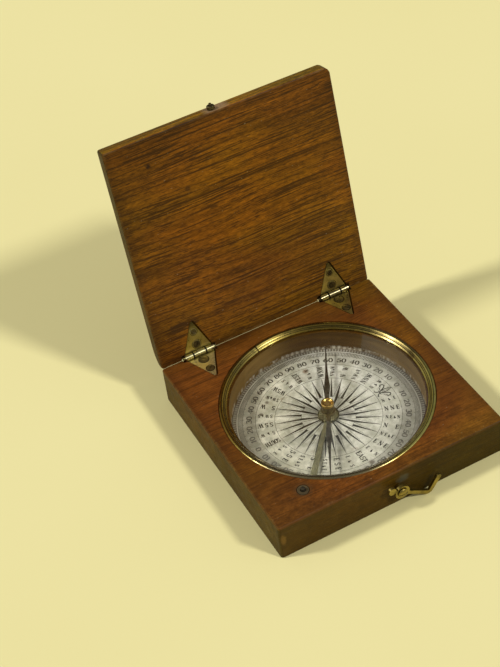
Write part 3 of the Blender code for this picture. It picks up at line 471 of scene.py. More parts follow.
def hinge_brass():
    """Dull leaves and rubbed knuckles, with painted shade in the gaps and round the screws, and dirt at the
    lid leaves' points.
    """
    graph = brass("hinge_brass")
    x, y, z = graph.axes()
    off, beside, screws = from_hinge(graph, x, y, z)
    rubbed = off.fade(0.00112, 0.00125)
    # Painted shade in the seams either side of the barrel.
    dirt_and_shade = off.span(0.00106, 0.00114) * off.fade(0.0013, 0.0021) * 0.85
    wider = y.span(HINGE_Y - 0.0016, HINGE_Y - 0.0010, 0.00014, 0.0)
    # Painted shade round the screw heads.
    for away, head in screws:
        dirt_and_shade = dirt_and_shade.most((away - wider).fade(head + 0.00008, head + 0.00028, 0.92))
    # Dirt at the lid leaves' points.
    dirt_and_shade = dirt_and_shade.most((z - HINGE_Z).span(0.0082, 0.0104, 0.0, 0.75))
    # Painted shade in the gaps between the knuckles.
    knuckle_gap_shade = abs(beside - 0.0023).fade(0.00018, 0.00034) * rubbed
    left = x.fade(-0.005, 0.005)
    # The left hinge: its case leaf lightened, a painted reflection; its lid leaf darker towards its top.
    graph.tint(y.fade(HINGE_Y - 0.0022, HINGE_Y - 0.0016) * left, (2.0, 2.15, 3.2))
    graph.tint(z.span(HINGE_Z + 0.0016, HINGE_Z + 0.0026) * left, (0.76, 0.73, 0.56))
    # The knuckles rubbed bright, the left hinge's paler than the right's: a painted highlight.
    graph.paint(rubbed, graph.mix(left, (0.23, 0.20, 0.108), (0.50, 0.46, 0.24)))
    # Laid on: the dirt and painted shade, then the painted shade in the knuckles' gaps.
    graph.paint(dirt_and_shade, (0.05, 0.038, 0.015))
    graph.paint(knuckle_gap_shade, (0.012, 0.010, 0.006))
    graph.set("Roughness", graph.rough - rubbed * 0.14 + knuckle_gap_shade * 0.5)
    return graph.done()


def lid_screw_brass():
    """Dark screw heads with their rims rubbed bright."""
    graph = brass("lid_screw_brass")
    dark = 0.0
    for away, head in from_hinge(graph, *graph.axes())[2]:
        dark = away.fade(head - 0.00034, head - 0.00014).most(dark)
    graph.colour = graph.mix(dark, (0.29, 0.235, 0.075), graph.colour)
    return graph.done()


def ring_brass():
    """Turned brass with dirt in the grooves between its beads, and painted light and shade that change with
    the heading round it.
    """
    graph = brass("ring_brass")
    radius, turn = graph.bowl_radius(), graph.bowl_turn()
    # Painted light and shade by heading round the ring.
    for heading, start, full, factor in RING_LIGHT_AND_SHADE:
        graph.tint(turn.facing(heading).span(start, full), factor)
    # Painted light: the ring's right side lightened, and rougher.
    right_painted_light = turn.facing(-40).span(0.72, 0.97)
    graph.tint(right_painted_light, (1.95, 2.35, 2.5))
    graph.paint(radius.span(0.03375, 0.03385, 0.0, 0.35), (0.16, 0.125, 0.04))
    dirt = 0.0
    for groove in RING_GROOVES:
        dirt = abs(radius - groove).fade(0.00006, 0.00019, 0.9).most(dirt)
    graph.paint(dirt, (0.05, 0.038, 0.014))
    graph.set("Roughness", graph.rough + right_painted_light * 0.12)
    graph.set("Coat Weight", 0.06)
    graph.set("Coat Roughness", 0.15)
    return graph.done()


def steel(name, colour, roughness):
    graph = Graph(name)
    cloud = graph.noise(500.0, detail=3.0)
    graph.colour = graph.mix(cloud.span(0.35, 0.65), colour, tuple(part * 0.5 for part in colour))
    graph.set("Metallic", 1.0)
    graph.set("Roughness", cloud.span(0.3, 0.7, roughness, roughness + 0.2))
    return graph.done()


def lever_brass():
    """Dull brass, darker on the cup round the pivot."""
    graph = brass("lever_brass")
    cup = graph.bowl_radius().fade(0.0034, 0.0042)
    graph.paint(cup, (0.102, 0.094, 0.046))
    graph.set("Roughness", graph.rough + cup * 0.28)
    return graph.done()


def needle_steel():
    """Browned steel, painted the olive of dull brass near the pivot: a painted reflection."""
    graph = Graph("needle_steel")
    cloud = graph.noise(600.0, detail=3.0)
    graph.colour = cloud.ramp((0.35, (0.090, 0.084, 0.058)), (0.65, (0.160, 0.150, 0.105)))
    graph.paint(graph.bowl_radius().fade(0.0040, 0.0050), (0.24, 0.215, 0.125))
    graph.set("Metallic", 1.0)
    graph.set("Roughness", cloud.span(0.3, 0.7, 0.30, 0.46))
    return graph.done()


def card_paper():
    """Off-white printed card, soiled towards its rim, with brown spots and a grey-green veil."""
    graph = Graph("printed_card")
    x, y, _ = graph.axes()
    radius = graph.bowl_radius()
    left, far = graph.towards(LEFT), graph.towards(FAR)
    cloud = graph.noise(110.0, detail=4.0, roughness=0.6)
    speck = graph.noise(1300.0, detail=3.0)
    mottle = graph.noise(420.0, (0.2, 0.9, 0.0), 4.0, 0.65)
    graph.colour = cloud.ramp((0.34, (0.39, 0.382, 0.298)), (0.60, (0.70, 0.695, 0.585)))
    graph.tint(0.8, mottle.ramp((0.36, (0.76, 0.775, 0.70)), (0.62, (1.15, 1.15, 1.16))))
    graph.paint(radius.span(0.0215, 0.0290, 0.0, 0.40), (0.25, 0.235, 0.17))
    graph.paint(speck.span(0.54, 0.70, 0.0, 0.32), (0.22, 0.19, 0.13))
    # The rim: a clean line, a chequered band and a dark edge.
    clean = radius.span(0.02955, 0.02965) * radius.fade(0.02995, 0.03005)
    graph.paint(clean * 0.75, (0.50, 0.49, 0.40))
    block = graph.bowl_turn().waves(200.0).span(-0.5, 0.3, 0.45, 1.0)
    rim = radius.span(0.03008, 0.03016, 0.0, 0.92) * block
    graph.paint(rim.most(radius.span(0.0309, 0.0312, 0.0, 0.9)), (0.070, 0.052, 0.030))
    spots = graph.noise(170.0, (0.7, 0.2, 0.0))
    graph.paint(spots.span(0.70, 0.78, 0.0, 0.5), (0.24, 0.15, 0.07))
    for mark_x, mark_y, size, colour in CARD_STAINS:
        off = graph.length(x - mark_x, y - mark_y) + speck * size
        graph.paint(off.fade(size, size * 2.1, 0.8), colour)
    # Side to side: the left yellower and the right darker; the far and near sides lighter, a painted light.
    graph.tint(left.span(0.002, 0.019), (0.98, 0.96, 0.88))
    graph.tint(left.fade(-0.022, -0.008), (0.86, 0.86, 0.85))
    veil = graph.noise(190.0, (0.35, 0.6, 0.0), 4.0, 0.62)
    graph.paint(veil.span(0.48, 0.62, 0.0, 0.55) * left.span(-0.006, 0.012), (0.285, 0.290, 0.205))
    graph.tint(far.span(0.006, 0.020), (1.10, 1.11, 1.14))
    graph.tint(far.fade(-0.024, -0.010), (1.16, 1.16, 1.13))
    graph.set("Roughness", cloud.span(0.3, 0.7, 0.50, 0.66))
    graph.bump(speck, 0.00003, 0.25)
    return graph.done()


def print_ink():
    """Worn printing ink that has gone grey in places, most of all outside the names."""
    graph = Graph("print_ink")
    patch = graph.noise(300.0, detail=4.0, roughness=0.7)
    outside = graph.bowl_radius().span(0.0236, 0.0242)
    worn = outside * graph.towards(NEAR).span(-0.012, 0.018, 0.12, 0.66)
    faint = outside * graph.towards(RIGHT).span(0.010, 0.024, 0.0, 0.45)
    black, grey, pale = (0.020, 0.018, 0.010), (0.043, 0.039, 0.022), (0.19, 0.18, 0.125)
    graph.colour = patch.ramp((0.36, black), (0.56, grey), (0.72, pale))
    graph.paint(worn.most(faint), (0.30, 0.285, 0.22))
    graph.set("Roughness", patch.span(0.3, 0.7, 0.5, 0.7))
    graph.set("Specular IOR Level", 0.2)
    return graph.done()


def pane_glass():
    """Clear glass that lets the lamps through to the card."""
    graph = Graph("clear_glass")
    graph.colour = (1.0, 1.0, 1.0, 1.0)
    graph.set("Roughness", 0.0)
    graph.set("IOR", 1.45)
    graph.set("Transmission Weight", 1.0)
    clear = graph.nodes.new("ShaderNodeBsdfTransparent")
    choice = graph.nodes.new("ShaderNodeMixShader")
    shadow = graph.node("LightPath", "Is Shadow Ray", {})
    graph.feed(choice.inputs[0], shadow.most(graph.node("LightPath", "Is Diffuse Ray", {})))
    graph.link(graph.shader.outputs[0], choice.inputs[1])
    graph.link(clear.outputs[0], choice.inputs[2])
    graph.link(choice.outputs[0], graph.output.inputs[0])
    return graph.done()


def stone(name, scale, distortion, dark, light, roughness):
    """A banded brown stone."""
    graph = Graph(name)
    band = graph.noise(scale, detail=3.0, distortion=distortion)
    graph.colour = band.ramp((0.35, dark), (0.65, light))
    graph.set("Roughness", roughness)
    return graph.done()


def new_object(name, shape, look, body, smooth_angle=35.0):
    """A piece from a bmesh, which is used up, riding on a body."""
    mesh = bpy.data.meshes.new(name)
    shape.to_mesh(mesh)
    shape.free()
    mesh.shade_smooth()
    mesh.set_sharp_from_angle(angle=math.radians(smooth_angle))
    for one in look if isinstance(look, (list, tuple)) else [look]:
        mesh.materials.append(one)
    made = bpy.data.objects.new(name, mesh)
    bpy.context.scene.collection.objects.link(made)
    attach(made, body)
    return made


def rounded(made, width):
    """Rounds a piece's edges as tumbling and handling do, and keeps its flat faces flat."""
    if width:
        change = made.modifiers.new("edges", "BEVEL")
        change.width = width
        change.segments = 2
        change.limit_method = "ANGLE"
        change.angle_limit = math.radians(38)
    flat = made.modifiers.new("normals", "WEIGHTED_NORMAL")
    flat.keep_sharp = True
    flat.weight = 90


def fit_lid(shape):
    """Lowers the lid's foot, and wears its two front corners unequally.

    A thin line of light shows under the foot, and none right of the right hinge.
    """
    for vert in shape.verts:
        fit_lid_point(vert.co)


def fit_lid_point(point):
    away = Vector((point.y - HINGE_Y, point.z - HINGE_Z))
    along = away.x * math.cos(LID_OPEN) - away.y * math.sin(LID_OPEN)
    inside = away.x * math.sin(LID_OPEN) + away.y * math.cos(LID_OPEN)
    if along > 0.0003 and inside < 0.0006:
        along += FOOT_DROP_RIGHT if point.x > HINGE_X else FOOT_DROP
    side = math.copysign(1.0, point.x)
    out = Vector((abs(point.x) - LID_HALF + LID_CORNER, LID_FRONT + LID_CORNER - along))
    if min(out) > -0.00001 and out.length > 0.0:
        worn = LID_CORNER_WORN if side > 0 else LID_CORNER_SHARP
        reach = max(worn - LID_CORNER + out.length, 0.0002)
        out = out.normalized() * reach
        point.x = side * (LID_HALF - worn + out.x)
        along = LID_FRONT + worn - out.y
    point.y = HINGE_Y + along * math.cos(LID_OPEN) + inside * math.sin(LID_OPEN)
    point.z = HINGE_Z - along * math.sin(LID_OPEN) + inside * math.cos(LID_OPEN)


def between(table, place):
    """The value at a place in a table of (place, value), in a straight line between its rows."""
    for (start, low), (end, high) in zip(table, table[1:]):
        if place <= end:
            return low + (high - low) * (place - start) / (end - start)
    return table[-1][1]


def fit_needle(shape):
    """Draws the needle's straight arms in to a waist, a belly and a thin shaft."""
    along = Vector((math.cos(NEEDLE_HEADING), math.sin(NEEDLE_HEADING), 0.0))
    across = Vector((-along.y, along.x, 0.0))
    for place, _ in NEEDLE_ARM[1:-1]:
        for side in (-1, 1):
            everything = shape.verts[:] + shape.edges[:] + shape.faces[:]
            cut = BOWL + along * place * side
            bmesh.ops.bisect_plane(shape, geom=everything, plane_co=cut, plane_no=along)
    for vert in shape.verts:
        off = vert.co - BOWL
        place = abs(off.dot(along))
        if place > NEEDLE_ARM[0][0]:
            share = between(NEEDLE_ARM, place) / between(NEEDLE_SOLID_ARM, place)
            vert.co += across * off.dot(across) * (share - 1.0)


def from_node(node, look, body, edge=0.0, sort=None, refine=None):
    """A piece with a node's own shape, its flat faces made whole and its edges softened."""
    shape = bmesh.new()
    shape.from_mesh(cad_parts[node].data)
    bmesh.ops.remove_doubles(shape, verts=shape.verts, dist=0.000001)
    if refine:
        refine(shape)
    bmesh.ops.dissolve_limit(shape, angle_limit=math.radians(0.6), verts=shape.verts, edges=shape.edges)
    if sort:
        for face in shape.faces:
            face.material_index = sort(face)
    made = new_object(node + "_dressed", shape, look, body)
    rounded(made, edge)
    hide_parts(node)


def turned(profile, steps, start=0.0, sweep=math.tau):
    """A solid turned about the bowl's axis from a closed outline of (radius, height) points."""
    shape = bmesh.new()
    whole = sweep == math.tau
    on_axis = {}
    rings = []
    for step in range(steps if whole else steps + 1):
        angle = start + sweep * step / steps
        ring = []
        for radius, height in profile:
            if radius > 0:
                ring.append(shape.verts.new((radius * math.cos(angle), radius * math.sin(angle), height)))
                continue
            if height not in on_axis:
                on_axis[height] = shape.verts.new((0.0, 0.0, height))
            ring.append(on_axis[height])
        rings.append(ring)
    following = rings[1:] + rings[:1] if whole else rings[1:]
    for ring, after in zip(rings, following):
        for index in range(len(profile)):
            corners = list(dict.fromkeys([ring[index - 1], ring[index], after[index], after[index - 1]]))
            if len(corners) > 2:
                shape.faces.new(corners)
    if not whole:
        shape.faces.new(rings[0])
        shape.faces.new(rings[-1])
    bmesh.ops.recalc_face_normals(shape, faces=shape.faces)
    bmesh.ops.translate(shape, verts=shape.verts, vec=BOWL)
    return shape


def loop(middle_x, middle_y, reach_x, reach_y, start, end, steps):
    """Points along part of an oval, between two angles in degrees."""
    points = []
    for step in range(steps + 1):
        angle = math.radians(start + (end - start) * step / steps)
        points.append((middle_x + reach_x * math.cos(angle), middle_y + reach_y * math.sin(angle)))
    return points


def bar(x, y, half=0.13):
    """A serif."""
    return (0, [(x - half, y), (x + half, y)])


# Lettering: each glyph is a width and strokes of (weight, points) on a unit height.
# Weight 1 is a thick stroke, 0 a hairline, and None follows the pen's direction.
GLYPHS = {
    "N": (0.86, [(0, [(0.17, 0), (0.17, 1)]), (1, [(0.17, 0.98), (0.69, 0.02)]), (0, [(0.69, 0), (0.69, 1)]),
                 bar(0.17, 0), bar(0.69, 1), bar(0.12, 1, 0.09)]),
    "E": (0.70, [(1, [(0.20, 0), (0.20, 1)]), (0, [(0.06, 0), (0.60, 0)]), (0, [(0.06, 1), (0.58, 1)]),
                 (0, [(0.20, 0.52), (0.44, 0.52)]), (0, [(0.60, 0), (0.60, 0.24)]),
                 (0, [(0.58, 1), (0.58, 0.78)]), (0, [(0.44, 0.42), (0.44, 0.62)])]),
    "S": (0.62, [(None, loop(0.30, 0.75, 0.21, 0.24, 30, 240, 8) + loop(0.29, 0.26, 0.23, 0.26, 60, -150, 8)),
                 (0, [(0.49, 0.72), (0.49, 0.98)]), (0, [(0.08, 0.28), (0.08, 0.02)])]),
    "W": (1.12, [(1, [(0.12, 1), (0.38, 0)]), (0, [(0.38, 0), (0.58, 1)]), (1, [(0.52, 1), (0.76, 0)]),
                 (0, [(0.76, 0), (1.00, 1)]), bar(0.12, 1, 0.11), bar(0.55, 1, 0.11), bar(1.00, 1, 0.11)]),
    "b": (0.46, [(1, [(0.12, 0), (0.12, 0.78)]), (None, loop(0.20, 0.22, 0.18, 0.22, 110, -110, 8)),
                 bar(0.09, 0.78, 0.06)]),
    "A": (0.84, [(0, [(0.10, 0), (0.40, 1)]), (1, [(0.40, 1), (0.70, 0)]), (0, [(0.20, 0.33), (0.58, 0.33)]),
                 bar(0.10, 0, 0.10), bar(0.70, 0)]),
    "T": (0.74, [(1, [(0.36, 0), (0.36, 1)]), (0, [(0.06, 1), (0.66, 1)]), (0, [(0.06, 1), (0.06, 0.76)]),
                 (0, [(0.66, 1), (0.66, 0.76)]), bar(0.36, 0)]),
    "O": (0.80, [(None, loop(0.38, 0.5, 0.29, 0.5, 0, 360, 16))]),
    "U": (0.82, [(1, [(0.18, 1), (0.18, 0.3)]), (None, loop(0.41, 0.3, 0.23, 0.3, 180, 360, 8)),
                 (0, [(0.64, 0.3), (0.64, 1)]), bar(0.18, 1), bar(0.64, 1, 0.10)]),
    "H": (0.90, [(1, [(0.20, 0), (0.20, 1)]), (1, [(0.68, 0), (0.68, 1)]), (0, [(0.20, 0.5), (0.68, 0.5)]),
                 bar(0.20, 0), bar(0.20, 1), bar(0.68, 0), bar(0.68, 1)]),
    "0": (0.62, [(None, loop(0.30, 0.5, 0.22, 0.5, 0, 360, 16))]),
    "1": (0.46, [(1, [(0.24, 0), (0.24, 1)]), (0, [(0.08, 0.82), (0.24, 1)]), bar(0.24, 0)]),
    "2": (0.62, [(None, loop(0.28, 0.73, 0.21, 0.26, 165, -40, 9) + [(0.06, 0.03)]),
                 (0, [(0.06, 0.03), (0.54, 0.03)]), (0, [(0.54, 0.03), (0.54, 0.22)])]),
    "3": (0.60, [(None, loop(0.26, 0.75, 0.20, 0.24, 155, -90, 9)),
                 (None, loop(0.26, 0.26, 0.24, 0.26, 90, -155, 9))]),
    "4": (0.66, [(0, [(0.44, 1), (0.05, 0.30)]), (0, [(0.05, 0.30), (0.62, 0.30)]),
                 (1, [(0.44, 0), (0.44, 1)]), bar(0.44, 0)]),
    "5": (0.60, [(0, [(0.13, 0.98), (0.50, 0.98)]), (0, [(0.13, 0.98), (0.10, 0.54)]),
                 (None, loop(0.27, 0.31, 0.24, 0.31, 130, -155, 10))]),
    "6": (0.62, [(None, loop(0.30, 0.30, 0.23, 0.30, 0, 360, 14)),
                 (None, loop(0.52, 0.36, 0.45, 0.62, 180, 95, 6))]),
    "7": (0.60, [(0, [(0.07, 0.97), (0.54, 0.97)]), (0, [(0.07, 0.97), (0.07, 0.78)]),
                 (1, [(0.54, 0.97), (0.22, 0)])]),
    "8": (0.62, [(None, loop(0.29, 0.76, 0.19, 0.23, 0, 360, 12)),
                 (None, loop(0.29, 0.27, 0.24, 0.27, 0, 360, 12))]),
    "9": (0.62, [(None, loop(0.30, 0.70, 0.23, 0.30, 0, 360, 14)),
                 (None, loop(0.08, 0.64, 0.45, 0.62, 0, -85, 6))]),
}
THICK, HAIR = 0.22, 0.085
POINTS = (
    "", "NbE", "NNE", "NEbN", "NE", "NEbE", "ENE", "EbN", "EAST", "EbS", "ESE", "SEbE", "SE", "SEbS", "SSE",
    "SbE", "SOUTH", "SbW", "SSW", "SWbS", "SW", "SWbW", "WSW", "WbS", "WEST", "WbN", "WNW", "NWbW", "NW",
    "NWbN", "NNW", "NbW",
)
POINT_STEP = 11.25
# Radii on the card: the rose's hub, steps and tips, the names, the figures and the degree scale.
HUB_RADIUS = 0.0032
STEP_RADIUS = 0.0088
TIP_RADIUS = 0.0175
NAME_RADIUS = 0.0207
FIGURE_RADIUS = 0.0259
SCALE_LONG, SCALE_INSIDE, SCALE_OUTSIDE = 0.0276, 0.0280, 0.0295
# The printed circles: radius and width of the line.
CIRCLES = (
    (TIP_RADIUS, 0.00011), (0.0238, 0.00011), (SCALE_INSIDE, 0.00010), (SCALE_OUTSIDE, 0.00012),
    (0.0301, 0.00012),
)
RAY_HALF = 0.00080
# The scale's lines: width inside and outside.
TICK_WIDTHS = (0.00017, 0.00019)
# Type: size, how far it is widened, the length it is fitted to (0 is its own) and how bold it is.
FIGURE_TYPE = (0.00165, 1.62, 0.0, 1.3)
SHORT_TYPE = (0.00135, 0.90, 0.0048, 1.0)
LONG_TYPE = (0.00175, 1.0, 0.0051, 1.0)
INK_RISE = 0.00002
PRINT_HEIGHT = CARD_TOP + INK_RISE


def runs(points):
    """The pen's direction at each point of a line."""
    before, after = [points[0], *points[:-1]], [*points[1:], points[-1]]
    return [Vector((end[0] - start[0], end[1] - start[1])) for start, end in zip(before, after)]


def ribbon(shape, points, widths):
    """A flat strip along points, each with its own width."""
    left, right = [], []
    for point, run, width in zip(points, runs(points), widths):
        side = Vector((-run.y, run.x)).normalized() * width / 2
        left.append(shape.verts.new((point[0] + side.x, point[1] + side.y, PRINT_HEIGHT)))
        right.append(shape.verts.new((point[0] - side.x, point[1] - side.y, PRINT_HEIGHT)))
    for index in range(len(points) - 1):
        shape.faces.new((right[index], right[index + 1], left[index + 1], left[index]))


def lettering(shape, words, kind, place):
    """Draws words with place(along, up) giving the card position of a point of the line of type."""
    size, widen, span, bold = kind
    wide = size * widen
    width = sum(GLYPHS[letter][0] for letter in words) * wide
    if 0.0 < span < width:
        wide *= span / width
        width = span
    space = max(span - width, 0.0) / max(len(words) - 1, 1)
    pen = -max(width, span) / 2
    for letter in words:
        advance, strokes = GLYPHS[letter]
        for weight, points in strokes:
            widths = []
            for run in runs(points):
                heavy = abs(run.y) / max(run.length, 0.001) if weight is None else weight
                widths.append((HAIR + (THICK - HAIR) * heavy) * size * bold)
            ribbon(shape, [place(pen + x * wide, (y - 0.5) * size) for x, y in points], widths)
        pen += advance * wide + space


def on_card(bearing, radius):
    """The card point at a bearing from its north, clockwise, in degrees. North is towards +X."""
    angle = math.radians(-bearing)
    return (BOWL.x + radius * math.cos(angle), BOWL.y + radius * math.sin(angle))


def build_print():
    """The printed rose: rays, rings, degree scale, figures and points."""
    shape = bmesh.new()
    for radius, width in CIRCLES:
        points = [on_card(-2 * step, radius) for step in range(181)]
        ribbon(shape, points, [width] * len(points))
    for degree in range(360):
        inside = SCALE_INSIDE if degree % 5 else SCALE_LONG
        ribbon(shape, [on_card(degree, inside), on_card(degree, SCALE_OUTSIDE)], TICK_WIDTHS)
    for bearing in range(0, 360, 10):
        figure = str(90 - abs(90 - bearing % 180))

        def beside(along, up, bearing=bearing):
            radius = FIGURE_RADIUS + up
            return on_card(bearing + math.degrees(along / radius), radius)

        lettering(shape, figure, FIGURE_TYPE, beside)
    for index, name in enumerate(POINTS):
        build_point(shape, index, name)
    made = new_object("dial_print", shape, print_ink(), "case")
    depth = made.modifiers.new("depth", "SOLIDIFY")
    depth.thickness = INK_RISE * 0.7
    depth.offset = -1.0


def build_point(shape, index, name):
    """One ray of the rose, half of it black, with its step and its name."""
    bearing = POINT_STEP * index
    short = index % 2 == 1

    def across(radius, offset):
        return on_card(bearing + math.degrees(offset / radius), radius)

    tip = across(TIP_RADIUS, 0.0)
    if short:
        dark = [across(STEP_RADIUS, -0.00010), across(STEP_RADIUS, RAY_HALF), tip]
        edge = [across(STEP_RADIUS, -RAY_HALF), tip]
        arc = [on_card(bearing - POINT_STEP * part / 6, STEP_RADIUS) for part in range(7)]
        ribbon(shape, arc, [0.00010] * 7)
    else:
        dark = [across(HUB_RADIUS, -0.00005), across(HUB_RADIUS, 0.00034), across(STEP_RADIUS, RAY_HALF), tip]
        edge = [across(HUB_RADIUS, -0.00030), across(STEP_RADIUS, -RAY_HALF), tip]
    shape.faces.new([shape.verts.new((*point, PRINT_HEIGHT)) for point in reversed(dark)])
    ribbon(shape, edge, [0.00011] * (len(edge) - 1) + [0.00007])

    def outward(along, up):
        radius = NAME_RADIUS + along
        return on_card(bearing - math.degrees(up / radius), radius)

    if not name:
        build_lily(shape, outward)
    else:
        lettering(shape, name, SHORT_TYPE if short else LONG_TYPE, outward)


def build_lily(shape, outward):
    """The usual lily at north, in outline: a spear, two curled leaves, a band and a foot."""
    spear = [(-0.0014, 0.00010), (-0.0004, 0.00042), (0.0010, 0.00062), (0.0020, 0.00040), (0.0032, 0.0)]
    leaf = [
        (-0.0012, 0.0003), (0.0000, 0.0008), (0.0011, 0.0014), (0.0017, 0.0021), (0.0013, 0.0027),
        (0.0005, 0.0027), (0.0001, 0.0022), (0.0005, 0.0018),
    ]
    under = [(-0.0009, 0.0009), (-0.0002, 0.0016), (-0.0004, 0.0022)]
    foot = [(-0.0015, 0.0002), (-0.0021, 0.0006), (-0.0027, 0.0013), (-0.0022, 0.0016)]
    for side in (-1, 1):
        for stroke, width in ((spear, 0.00030), (leaf, 0.00042), (under, 0.00028), (foot, 0.00038)):
            widths = [width * 0.6] + [width] * (len(stroke) - 2) + [width * 0.5]
            ribbon(shape, [outward(along, side * across) for along, across in stroke], widths)
    ribbon(shape, [outward(-0.0013, -0.0010), outward(-0.0013, 0.0010)], [0.00028, 0.00028])
    ribbon(shape, [outward(-0.0004, 0.0), outward(0.0022, 0.0)], [0.00022, 0.00008])


# The ring's section from its outer edge to the glass: distance from the bowl's axis, and depth below its top.
RING_SECTION = (
    (0.03470, 0.00036), (0.03462, 0.00027), (0.03447, 0.00015), (0.03430, 0.00008), (0.03412, 0.00004),
    (0.03396, 0.00004), (0.03391, 0.00007), (0.03387, 0.00018), (0.03383, 0.00018), (0.03379, 0.00008),
    (0.03374, 0.00003), (0.03367, 0.00002), (0.03360, 0.00006), (0.03322, 0.00036), (0.03319, 0.00043),
    (0.03316, 0.00040), (0.03280, 0.00068), (0.03277, 0.00074), (0.03274, 0.00072), (0.03240, 0.00098),
    (0.03229, 0.00105),
)
RING_SPLIT = 0.0005
RING_SPLIT_HEADING = math.radians(104.4)
# The dish of the cap's top: distance in from its rounded edge, and depth below the top.
CAP_DISH = (
    (0.00008, 0.00003), (0.00022, 0.00012), (0.00036, 0.00025), (0.00050, 0.00041), (0.00064, 0.00051),
)


def build_ring(look):
    """The split ring, with a flat band outside and a grooved slope towards the glass."""
    low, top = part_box("bezel_ring")[0].z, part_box("bezel_ring")[1].z
    outer, inner = RING_SECTION[0][0], RING_INSIDE
    profile = [(inner, low), (outer, low)]
    profile += [(radius, top - depth) for radius, depth in RING_SECTION]
    profile += [(inner, low + 0.00010)]
    gap = RING_SPLIT / outer
    start = RING_SPLIT_HEADING + gap / 2
    shape = turned(profile, 256, start, math.tau - gap)
    ring = new_object("bezel_turned", shape, look, "case", 26)
    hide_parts("bezel_ring")


def build_cap(rim_look, side_look, neck_look, stone_look):
    """The needle's cap, turned finer than the solid: its top is dished round the stone."""
    low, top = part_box("needle_cap")[0].z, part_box("needle_cap")[1].z
    bore, tail, neck, radius, stone_radius = 0.0010, 0.0016, 0.0019, 0.0021, 0.00105
    shoulder, rim, edge = low + 0.0019, top - 0.0012, 0.00030
    profile = [(0.0, top - 0.0009), (bore, top - 0.0009), (bore, low), (tail, low), (tail, shoulder)]
    profile += [(neck, shoulder), (neck, rim - 0.0003), (neck + 0.00006, rim - 0.0001)]
    profile += [(radius - 0.00008, rim), (radius, rim + 0.00008)]
    for step in range(7):
        angle = math.pi / 2 * step / 6
        profile.append((radius - edge + edge * math.cos(angle), top - edge + edge * math.sin(angle)))
    for inward, depth in CAP_DISH:
        profile.append((radius - edge - inward, top - depth))
    profile += [(stone_radius, top - 0.00053), (stone_radius * 0.6, top - 0.00047), (0.0, top - 0.00043)]
    shape = turned(profile, 48)
    for face in shape.faces:
        middle = face.calc_center_median()
        away = math.hypot(middle.x - BOWL.x, middle.y - BOWL.y)
        if middle.z < rim - 0.00015:
            face.material_index = 2
        elif away > radius - edge * 0.5:
            face.material_index = 1
        else:
            face.material_index = 3 if away < stone_radius and face.normal.z > 0.0 else 0
    cap = new_object("needle_cap_turned", shape, [rim_look, side_look, neck_look, stone_look], "needle", 40)
    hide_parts("needle_cap")


def sort_case(face):
    """1 for the bowl's wall, 0 for the rest of the case."""
    middle = face.calc_center_median()
    away = math.hypot(middle.x - BOWL.x, middle.y - BOWL.y)
    upright = abs(face.normal.z) < 0.5
    return 1 if away < BOWL_RADIUS + 0.0005 and upright and middle.z > BOWL_FLOOR else 0


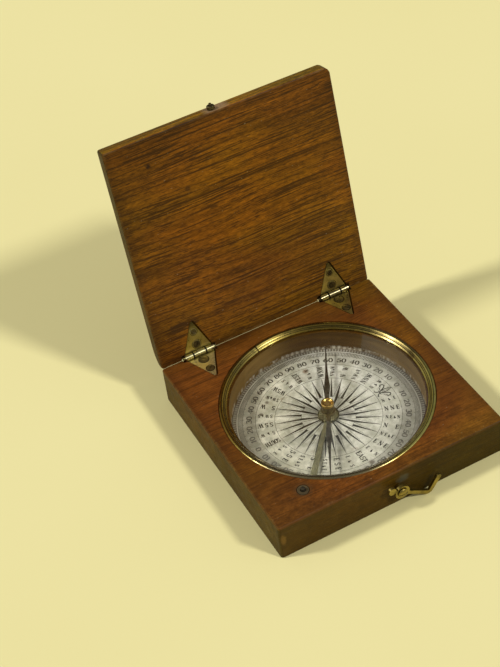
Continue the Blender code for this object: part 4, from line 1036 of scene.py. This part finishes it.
def build_pieces():
    hinge_look = hinge_brass()
    lid_screw_look, case_screw_look = lid_screw_brass(), brass("case_screw_brass").done()
    hook_look, lever_look = brass("hook_brass").done(), lever_brass()
    dark_steel = steel("dark_steel", (0.09, 0.085, 0.075), 0.38)
    jewel = stone("agate", (900.0, 900.0, 2600.0), 1.0, (0.16, 0.045, 0.02), (0.42, 0.17, 0.08), 0.12)
    cap_stone = stone("cap_stone", 1500.0, 0.6, (0.095, 0.058, 0.013), (0.175, 0.108, 0.028), 0.22)

    from_node("case_base", [case_wood(), bowl_wood()], "case", sort=sort_case)
    from_node("lid_board", lid_wood(), "lid", refine=fit_lid)
    for side in ("left", "right"):
        from_node(f"case_leaf_{side}", hinge_look, "case", 0.00008)
        from_node(f"lid_leaf_{side}", hinge_look, "lid", 0.00008)
        from_node(f"hinge_pin_{side}", hinge_look, "case")
        for place in ("inner", "outer"):
            from_node(f"case_screw_{side}_{place}", case_screw_look, "case", 0.00004)
            from_node(f"lid_screw_{side}_{place}", lid_screw_look, "lid", 0.00004)
    from_node("latch_hook", hook_look, "hook", 0.00018)
    from_node("hook_screw", hook_look, "case", 0.00006)
    from_node("hook_collar", hook_look, "case", 0.00006)
    from_node("catch_stud", brass("screw_brass").done(), "lid", 0.00008)
    from_node("pin_bush", brass("bush_brass").done(), "case", 0.00006)
    from_node("lock_pin", steel("worn_steel", (0.13, 0.112, 0.076), 0.6), "lock_pin")
    from_node("fulcrum_pin", dark_steel, "case")
    from_node("pivot_point", dark_steel, "case")
    from_node("pivot_post", lever_look, "case")
    from_node("lifter_lever", lever_look, "lever", 0.0001)
    from_node("needle", needle_steel(), "needle", 0.00008, refine=fit_needle)
    from_node("cap_jewel", jewel, "needle")
    from_node("dial_card", card_paper(), "case")
    from_node("glass", pane_glass(), "case")
    build_ring(ring_brass())
    build_cap(brass("cap_brass").done(), brass("cap_side_brass").done(), brass("hub_brass").done(), cap_stone)
    build_print()


def build_camera():
    data = bpy.data.cameras.new("camera")
    data.lens = 79.088
    data.sensor_width = 36.0
    made = bpy.data.objects.new("camera", data)
    made.location = (-0.14529, -0.29297, 0.35070)
    made.rotation_euler = [math.radians(angle) for angle in (46.5639, 5.8151, -28.0585)]
    bpy.context.scene.collection.objects.link(made)
    bpy.context.scene.camera = made


def build_lamp(name, towards, strength, colour):
    """A broad distant lamp that stands in a direction from the object."""
    data = bpy.data.lights.new(name, "SUN")
    data.energy = strength
    data.angle = math.radians(7)
    data.color = colour
    made = bpy.data.objects.new(name, data)
    made.location = Vector(towards).normalized()
    made.rotation_euler = Vector(towards).to_track_quat("Z", "Y").to_euler()
    bpy.context.scene.collection.objects.link(made)


def build_stage():
    shape = bmesh.new()
    bmesh.ops.create_grid(shape, x_segments=1, y_segments=1, size=20.0)
    mesh = bpy.data.meshes.new("floor")
    shape.to_mesh(mesh)
    shape.free()
    graph = Graph("floor")
    graph.colour = graph.noise(6.0).ramp((0.3, (0.83, 0.77, 0.38)), (0.7, (0.85, 0.79, 0.40)))
    graph.set("Roughness", 0.85)
    graph.set("Specular IOR Level", 0.2)
    mesh.materials.append(graph.done())
    floor = bpy.data.objects.new("floor", mesh)
    bpy.context.scene.collection.objects.link(floor)
    world = bpy.data.worlds.new("studio")
    bpy.context.scene.world = world
    world.use_nodes = True
    back = world.node_tree.nodes["Background"]
    back.inputs["Color"].default_value = (1.0, 0.97, 0.90, 1.0)
    back.inputs["Strength"].default_value = 0.27
    build_lamp("front_lamp", (0.60, -0.88, 1.0), 1.60, LAMP_COLOUR)
    build_lamp("back_lamp", (-0.97, 0.37, 1.0), 1.75, LAMP_COLOUR)
    bpy.context.scene.view_settings.view_transform = "Standard"


build_camera()
build_stage()
build_pieces()
